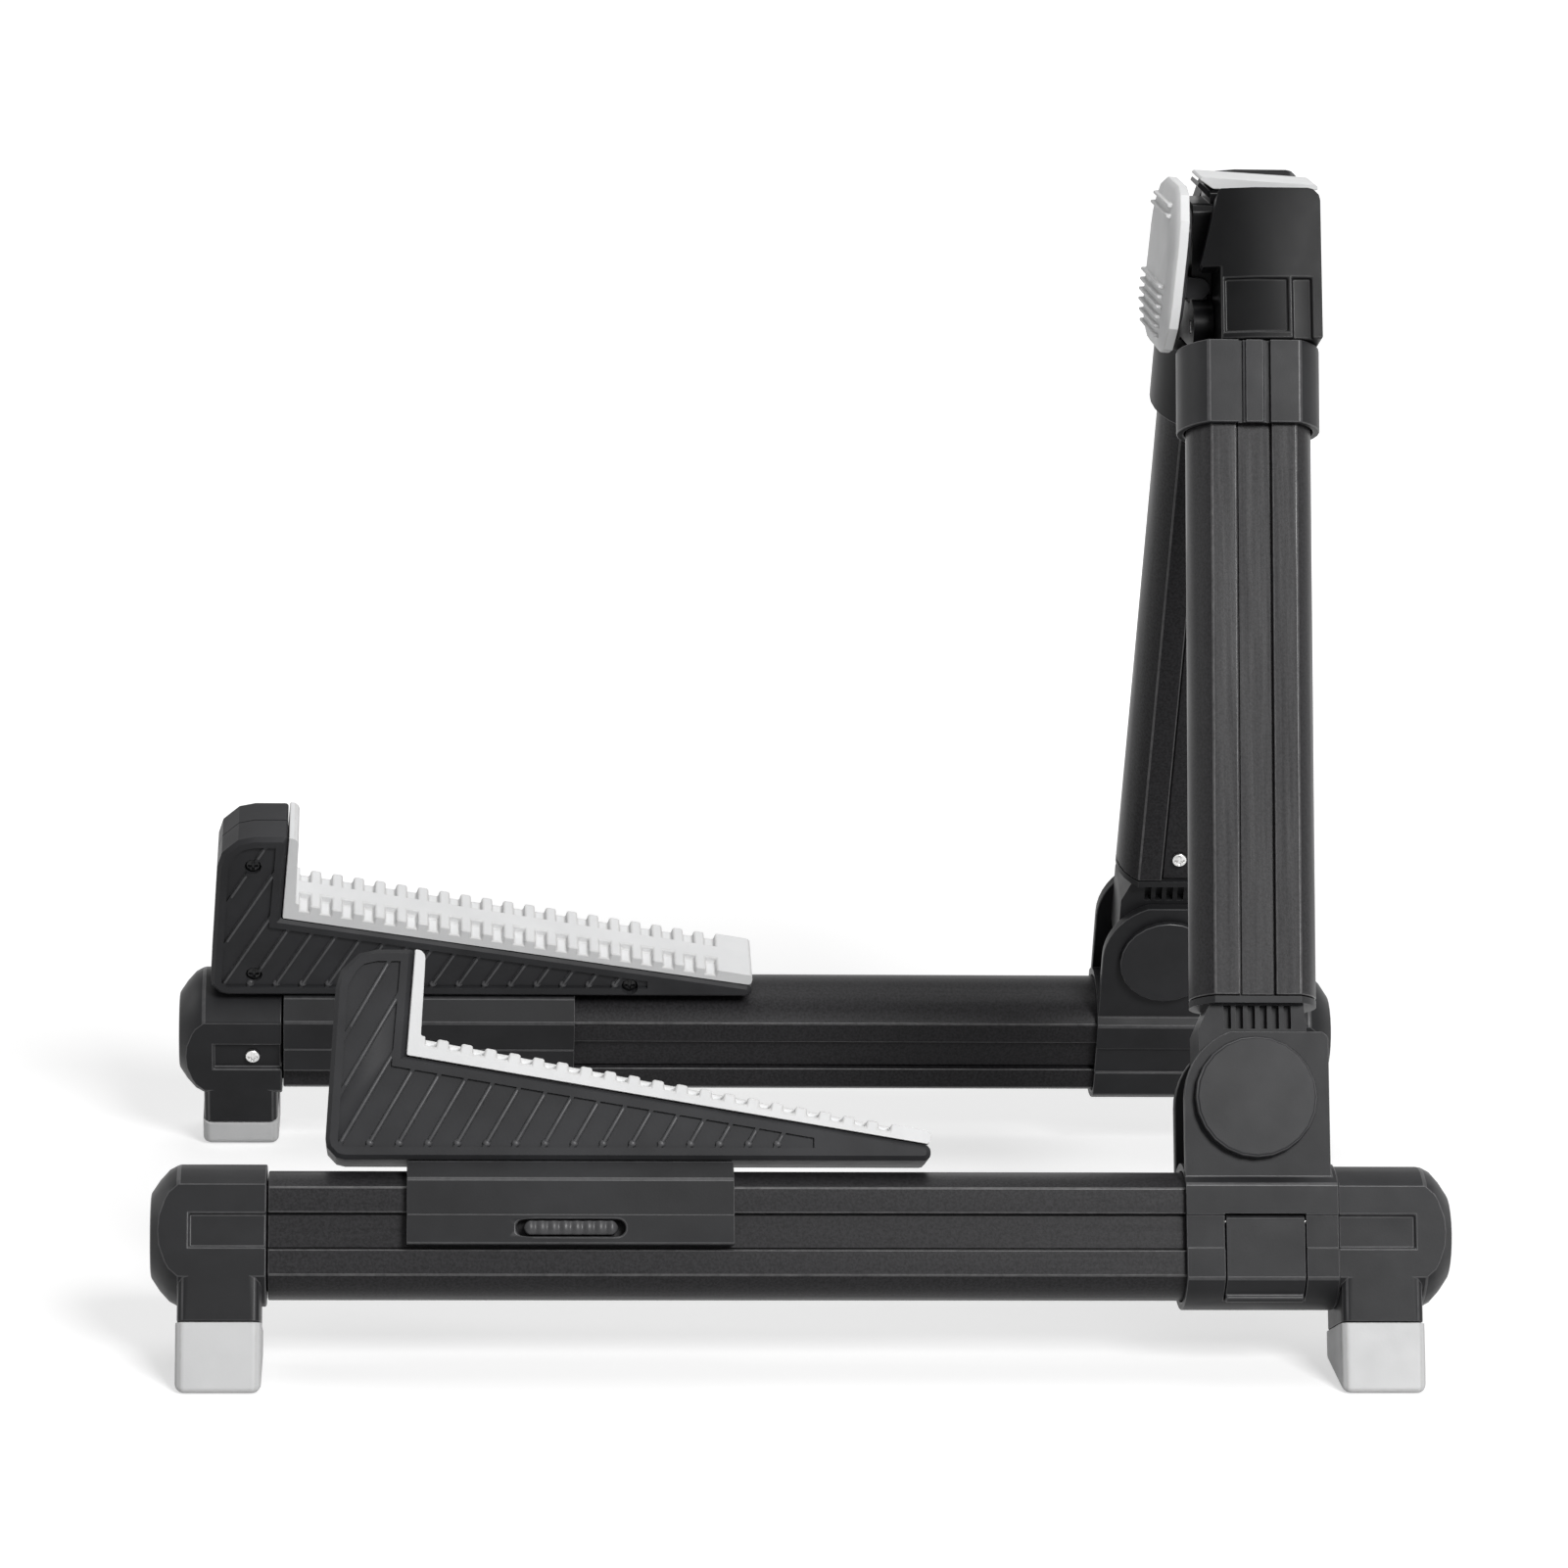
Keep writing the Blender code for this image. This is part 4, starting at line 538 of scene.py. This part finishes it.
def side_gaps(node, side, half, channel, width, depth):
    """Cutters for the narrow gaps along both sides of a channel, on both flats of the piece."""
    points = on_leg(node, side)
    upright = "base" not in node
    lengthwise = [point.z if upright else point.x for point in points]
    ends = (min(lengthwise), max(lengthwise))
    middles = []
    for end in ends:
        near = [p for p, at in zip(points, lengthwise) if abs(at - end) < 0.5 * MM]
        across = [point.x if upright else point.z for point in near]
        middles.append((min(across) + max(across)) / 2)
    face = max(point.y for point in points)
    floor = face - channel
    cutters = []
    for outwards in (1, -1):
        low, high = sorted((outwards * (floor - depth), outwards * (face + MM)))
        for inner, outer in ((half - width, half), (-half, width - half)):
            corners = [(middles[0] + inner, ends[0] - MM), (middles[0] + outer, ends[0] - MM),
                       (middles[1] + outer, ends[1] + MM), (middles[1] + inner, ends[1] + MM)]
            if not upright:
                corners = [(along, across) for across, along in corners]
            cutter = slab(corners, low, high)
            bmesh.ops.transform(cutter, matrix=leg_place(side), verts=cutter.verts)
            cutters.append(cutter)
    return cutters


def arm_start(side):
    """Where the rest's own x starts: the front end of its saddle."""
    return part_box(side + "_cradle_saddle")[0].x


def panel_corners():
    """The panel's corners in (x, u): the arm's outline moved in, its hook corner cut round."""
    count = len(ARM_CORNERS)
    lines = []
    for index, rim in enumerate(PANEL_RIMS):
        start = Vector(ARM_CORNERS[index])
        run = (Vector(ARM_CORNERS[(index + 1) % count]) - start).normalized()
        lines.append((start + Vector((-run.y, run.x)) * rim, run))
    corners = []
    for index in range(count):
        (first, run), (second, other) = lines[index - 1], lines[index]
        share = (second - first).cross(other) / run.cross(other)
        corners.append(first + run * share)
    last = corners.pop()
    centre = last + Vector((PANEL_ROUND + PANEL_ROUND_SHIFT, -PANEL_ROUND))
    for step in range(PANEL_ROUND_STEPS + 1):
        angle = math.radians(90 + PANEL_ROUND_TURN * step / PANEL_ROUND_STEPS)
        corners.append(centre + PANEL_ROUND * Vector((math.cos(angle), math.sin(angle))))
    return corners


def rib_stretches(foot, screws):
    """Where along its slanted line a rib runs on the panel, clear of the screws."""
    slope = Vector((math.cos(RIB_SLOPE), math.sin(RIB_SLOPE)))
    corners = panel_corners()
    meets = []
    for index, corner in enumerate(corners):
        run = corners[index - 1] - corner
        across = slope.cross(run)
        if abs(across) > 1e-9:
            at = (corner - foot).cross(run) / across
            part = (corner - foot).cross(slope) / across
            if 0 <= part < 1 and at > -0.1 * MM:
                meets.append(at)
    meets.sort()
    if len(meets) < 2:
        return []
    from_rim = meets[0] < MM
    low = RIB_ABOVE_RIM / math.sin(RIB_SLOPE) if from_rim else meets[0] + RIB_FROM_SIDE
    stretches = [(low, meets[1] - RIB_BELOW_TOP)]
    for screw in screws:
        at = (screw - foot).dot(slope)
        if abs((screw - foot).cross(slope)) > SCREW_CLEAR:
            continue
        split = []
        for start, end in stretches:
            split.append((start, min(end, at - SCREW_CLEAR)))
            split.append((max(start, at + SCREW_CLEAR), end))
        stretches = split
    return [(start, end) for start, end in stretches if end - start > RIB_SHORTEST]


def add_ribs(side, outwards, name, materials):
    """Half-round bars over the ribs of a rest's panel, with a small round foot at the rim."""
    body = bmesh.new()
    place = leg_place(side, arm_start(side))
    floor = ARM_HALF - PANEL_DEPTH - RIB_BED
    screws = [Vector(spot) for spot in SCREW_SPOTS] if outwards < 0 else []
    slope = Vector((math.cos(RIB_SLOPE), math.sin(RIB_SLOPE)))
    aside = Vector((slope.y, -slope.x))
    for number in RIB_NUMBERS:
        foot = Vector((RIB_FIRST + number * RIB_PITCH, RIB_START))
        for start, end in rib_stretches(foot, screws):
            stations = [(start + at, scale) for at, scale in RIB_ENDS]
            stations += [(end - at, scale) for at, scale in reversed(RIB_ENDS)]
            rings = []
            for at, scale in stations:
                ring = []
                for step in range(RIB_STEPS + 1):
                    angle = math.pi * step / RIB_STEPS
                    spot = foot + slope * at + aside * RIB_HALF * scale * math.cos(angle)
                    n = outwards * (floor + RIB_RISE * scale * math.sin(angle))
                    ring.append((spot.x, n, spot.y))
                rings.append(ring)
            ring_skin(body, rings)
        if number > 0:
            centre = foot + slope * RIB_ABOVE_RIM / math.sin(RIB_SLOPE)
            rings = []
            for radius, height in FOOT_PROFILE:
                n = outwards * (floor + height * MM)
                ring = []
                for step in range(FOOT_STEPS):
                    angle = math.tau * step / FOOT_STEPS
                    across, up = radius * MM * math.cos(angle), radius * MM * math.sin(angle)
                    ring.append((centre.x + across, n, centre.y + up))
                rings.append(ring)
            ring_skin(body, rings)
    made_piece(name, body, place, materials, side + "_cradle", RIB_ANGLE)


def add_lock(side, materials):
    """The thumb lock: a rounded slider with upright ridges, in the saddle's slot."""
    node = side + "_cradle_lock"
    points = on_leg(node, side)
    left, right = min(p.x for p in points), max(p.x for p in points)
    low, high = min(p.z for p in points), max(p.z for p in points)
    back, crest = min(p.y for p in points), max(p.y for p in points)
    middle, half = (low + high) / 2, (high - low) / 2
    face = crest - LOCK_RIDGE
    pitch = (right - left) / LOCK_RIDGES
    stations = LOCK_RIDGE_STEPS * LOCK_RIDGES
    rings = []
    for step in range(stations + 1):
        x = left + (right - left) * step / stations
        reach = min(x - left, right - x)
        short = max(half - reach, 0.0)
        tall = max(math.sqrt(half ** 2 - short ** 2), LOCK_TIP)
        wave = 0.5 - 0.5 * math.cos(math.tau * (x - left) / pitch)
        front = face + LOCK_RIDGE * wave ** LOCK_CREST
        lip = min(LOCK_LIP, tall * 0.5)
        rings.append([(x, back, middle - tall), (x, front - lip, middle - tall),
                      (x, front, middle - tall + lip), (x, front, middle + tall - lip),
                      (x, front - lip, middle + tall), (x, back, middle + tall)])
    body = bmesh.new()
    ring_skin(body, rings)
    piece = made_piece(node + "_ridged", body, leg_place(side), materials,
                       NODES[node]["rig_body"], LOCK_ANGLE)
    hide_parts(node)


def rounded_slot(side):
    """A reshaper that gives the saddle's slot its round ends."""
    def reshape(body):
        back = leg_place(side).inverted()
        lock = on_leg(side + "_cradle_lock", side)
        low, high = min(p.z for p in lock) - SLOT_REACH_U, max(p.z for p in lock) + SLOT_REACH_U
        left, right = min(p.x for p in lock) - SLOT_REACH_X, max(p.x for p in lock) + SLOT_REACH_X
        edges = []
        for edge in body.edges:
            a, b = (back @ vert.co for vert in edge.verts)
            straight = abs(a.x - b.x) < 0.01 * MM and abs(a.z - b.z) < 0.01 * MM
            through = straight and abs(a.y - b.y) > 0.3 * MM
            if through and left < a.x < right and low < a.z < high:
                edges.append(edge)
        bmesh.ops.bevel(body, geom=edges, offset=SLOT_ROUND, segments=SLOT_SEGMENTS,
                        profile=0.5, affect="EDGES")
    return reshape


def add_screw(node, materials):
    """A domed screw head with a cross recess, on a short shank in its hole."""
    side = node.split("_")[0]
    points = on_leg(node, side)
    top = min(point.y for point in points)
    heads = [point for point in points if point.y < top + SCREW_HEAD]
    x = (min(p.x for p in heads) + max(p.x for p in heads)) / 2
    u = (min(p.z for p in heads) + max(p.z for p in heads)) / 2
    radius = (max(p.x for p in heads) - min(p.x for p in heads)) / 2
    levels = [(share, depth, False) for share, depth in SCREW_PROFILE]
    for step in range(1, DOME_STEPS + 1):
        share = DOME_SHARE - DOME_SPAN * step / DOME_STEPS
        levels.append((share, DOME_RISE - DOME_RISE * math.sqrt(1 - share ** 2), True))
    rings = []
    for share, depth, crossed in levels:
        ring = []
        for step in range(SCREW_STEPS):
            angle = math.tau * step / SCREW_STEPS
            a, b = radius * share * math.cos(angle), radius * share * math.sin(angle)
            near, far = sorted((abs(a), abs(b)))
            arm = near < CROSS_HALF * radius and far < CROSS_REACH * radius
            sink = CROSS_SINK if crossed and arm else 0.0
            ring.append((x + a, top + (depth + sink) * MM, u + b))
        rings.append(ring)
    body = bmesh.new()
    ring_skin(body, rings)
    piece = made_piece(node + "_head", body, leg_place(side), materials,
                       NODES[node]["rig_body"], SCREW_ANGLE)
    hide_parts(node)


def dress_everything():
    """Makes the finishes, then a dressed piece for every node, and the ribs' bars."""
    base_metal = finish_pair(anodised, "anodised_base", (0.02, 1, 1))
    upright_metal = finish_pair(anodised, "anodised_upright", (1, 0.05, 0.02))
    plastic = finish_pair(moulded, "black_moulding", 0.020, 0.40, 0.12, 1900, 0.30)
    shell = finish_pair(moulded, "rest_moulding", 0.030, 0.44, 0.12, 1500, 0.42)
    glossy = finish_pair(moulded, "head_moulding", 0.006, 0.30, 0.07, 2400, 0.14)
    disc = finish_pair(moulded, "disc_moulding", 0.024, 0.36, 0.13, 2200, 0.20)
    rubber = finish_pair(pale_rubber, "pale_rubber", 0.74)
    boot = finish_pair(pale_rubber, "boot_rubber", 0.60)
    screw = [bright_steel("screw_steel", 0.80, 0)]
    black_screw = [moulded("near_black_screw", 0.010, 0.30, 0.30, 1500, 0.10, 0)]
    pin = finish_pair(bright_steel, "pin_steel", 0.60)
    kinds = [
        ("base_tube", base_metal, EDGE_METAL, "anodised_tube"),
        ("upright_tube", upright_metal, EDGE_METAL, "anodised_tube"),
        ("_pin", pin, EDGE_METAL, "steel_pin"),
        ("boot", boot, EDGE_RUBBER, "pale_rubber"),
        ("back_pad", rubber, EDGE_FINE, "pale_rubber"),
        ("_pad", rubber, EDGE_RUBBER, "pale_rubber"),
        ("disc", disc, EDGE_PLASTIC, "black_plastic"),
        ("head_yoke", glossy, EDGE_PLASTIC, "black_plastic"),
        ("head_fitting", glossy, EDGE_PLASTIC, "black_plastic"),
        ("shell", shell, EDGE_PLASTIC, "black_plastic"),
        ("", plastic, EDGE_PLASTIC, "black_plastic"),
    ]
    for node in sorted(NODES):
        side = node.split("_")[0]
        if node.endswith("cradle_lock"):
            # The whole lock takes the lighter edge finish of the moulding: painted light on its ridges,
            # with wear patches.
            add_lock(side, plastic[1:])
            continue
        if "screw" in node:
            if "cradle" in node:
                # The rests' screws get a near-black finish in place of steel.
                add_screw(node, black_screw)
            else:
                add_screw(node, screw)
            continue
        for word, materials, edge, slot in kinds:
            if word in node:
                break
        reshape = None
        cutters = []
        if "boot" in node:
            reshape = rounded_sole
        elif "saddle" in node:
            reshape = rounded_slot(side)
        elif "tube" in node:
            cutters = side_gaps(node, side, *TUBE_GAPS)
        elif "collar" in node:
            cutters = side_gaps(node, side, *COLLAR_GAPS)
        elif "shell" in node:
            outwards = 1 if "outer" in node else -1
            # The bars take the lighter edge finish of the rest moulding: a painted highlight along the
            # ribs, with wear patches.
            add_ribs(side, outwards, node + "_ribs", shell[1:])
        creases = HEAD_CREASE if "head" in node else SMOOTH_ANGLE
        dressed(node, materials, edge, reshape, creases, cutters)


# Camera, floor and light

def place_camera():
    """The photograph's view."""
    yaw, pitch, roll = (math.radians(a) for a in (CAMERA_YAW, CAMERA_PITCH, CAMERA_ROLL))
    forward = Vector((math.sin(yaw) * math.cos(pitch),
                      math.cos(yaw) * math.cos(pitch),
                      -math.sin(pitch)))
    level = Vector((math.cos(yaw), -math.sin(yaw), 0))
    down = forward.cross(level)
    right = level * math.cos(roll) + down * math.sin(roll)
    up = level * math.sin(roll) - down * math.cos(roll)
    data = bpy.data.cameras.new("camera")
    data.sensor_width = SENSOR_MM
    data.lens = CAMERA_FOCAL * SENSOR_MM / PHOTO_SIZE
    data.clip_end = 50
    camera = bpy.data.objects.new("camera", data)
    turn = Matrix((right, up, -forward)).transposed().to_4x4()
    camera.matrix_world = Matrix.Translation(CAMERA_PLACE) @ turn
    bpy.context.scene.collection.objects.link(camera)
    bpy.context.scene.camera = camera


def seen_white(tree, add, surface):
    """Lifts a pale floor to white for the camera and for reflections, less under the object."""
    coordinates = add("ShaderNodeTexCoord")
    distance = add("ShaderNodeVectorMath", operation="LENGTH")
    tree.links.new(coordinates.outputs["Object"], distance.inputs[0])
    level = add("ShaderNodeMapRange", interpolation_type="SMOOTHSTEP")
    level.inputs["From Min"].default_value = FLOOR_GLOW_FROM
    level.inputs["From Max"].default_value = FLOOR_GLOW_TO
    level.inputs["To Min"].default_value = FLOOR_GLOW
    level.inputs["To Max"].default_value = 1.0
    tree.links.new(distance.outputs["Value"], level.inputs["Value"])
    path = add("ShaderNodeLightPath")
    seen = add("ShaderNodeMath", operation="MAXIMUM")
    tree.links.new(path.outputs["Is Camera Ray"], seen.inputs[0])
    tree.links.new(path.outputs["Is Glossy Ray"], seen.inputs[1])
    strength = add("ShaderNodeMath", operation="MULTIPLY")
    tree.links.new(seen.outputs["Value"], strength.inputs[0])
    tree.links.new(level.outputs["Result"], strength.inputs[1])
    glow = add("ShaderNodeEmission")
    tree.links.new(strength.outputs["Value"], glow.inputs["Strength"])
    total = add("ShaderNodeAddShader")
    tree.links.new(surface, total.inputs[0])
    tree.links.new(glow.outputs["Emission"], total.inputs[1])
    return total.outputs["Shader"]


def add_floor():
    """A wide pale floor, a hair below the soles."""
    body = bmesh.new()
    bmesh.ops.create_grid(body, x_segments=FLOOR_CELLS, y_segments=FLOOR_CELLS, size=FLOOR_HALF)
    mesh = bpy.data.meshes.new("floor")
    body.to_mesh(mesh)
    body.free()
    floor = bpy.data.objects.new("floor", mesh)
    floor.location.z = -FLOOR_DROP
    bpy.context.scene.collection.objects.link(floor)
    material, tree, shader, add = nodes_of("floor_white")
    even = spread(tree, add, EVEN)
    colour = ramp(tree, add, noise(tree, add, even, 3, 2), [(0.3, grey(0.56)), (0.7, grey(0.58))])
    tree.links.new(colour, shader.inputs["Base Color"])
    shader.inputs["Roughness"].default_value = 0.9
    shader.inputs["Specular IOR Level"].default_value = 0.1
    output = tree.nodes["Material Output"]
    tree.links.new(seen_white(tree, add, shader.outputs["BSDF"]), output.inputs["Surface"])
    mesh.materials.append(material)


def area_light(name, place, size, power):
    """A square soft light aimed at the stand."""
    data = bpy.data.lights.new(name, "AREA")
    data.size = size
    data.energy = power
    lamp = bpy.data.objects.new(name, data)
    lamp.location = place
    aim = Vector(LAMPS_AIM) - Vector(place)
    lamp.rotation_euler = aim.to_track_quat("-Z", "Y").to_euler()
    bpy.context.scene.collection.objects.link(lamp)


def light_the_set():
    """A soft key light from the right in front, weaker ones above and at the left, a faint surround."""
    for name, place, size, power in LAMPS:
        area_light(name, place, size, power)
    world = bpy.data.worlds.new("surround")
    world.use_nodes = True
    tree = world.node_tree
    background = tree.nodes["Background"]
    path = tree.nodes.new("ShaderNodeLightPath")
    seen = tree.nodes.new("ShaderNodeMath")
    seen.operation = "MAXIMUM"
    tree.links.new(path.outputs["Is Camera Ray"], seen.inputs[0])
    tree.links.new(path.outputs["Is Glossy Ray"], seen.inputs[1])
    level = tree.nodes.new("ShaderNodeMapRange")
    level.inputs["To Min"].default_value = SURROUND
    level.inputs["To Max"].default_value = 1.0
    tree.links.new(seen.outputs["Value"], level.inputs["Value"])
    tree.links.new(level.outputs["Result"], background.inputs["Strength"])
    background.inputs["Color"].default_value = (1, 1, 1, 1)
    bpy.context.scene.world = world


dress_everything()
place_camera()
add_floor()
light_the_set()
bpy.context.scene.view_settings.view_transform = "Standard"
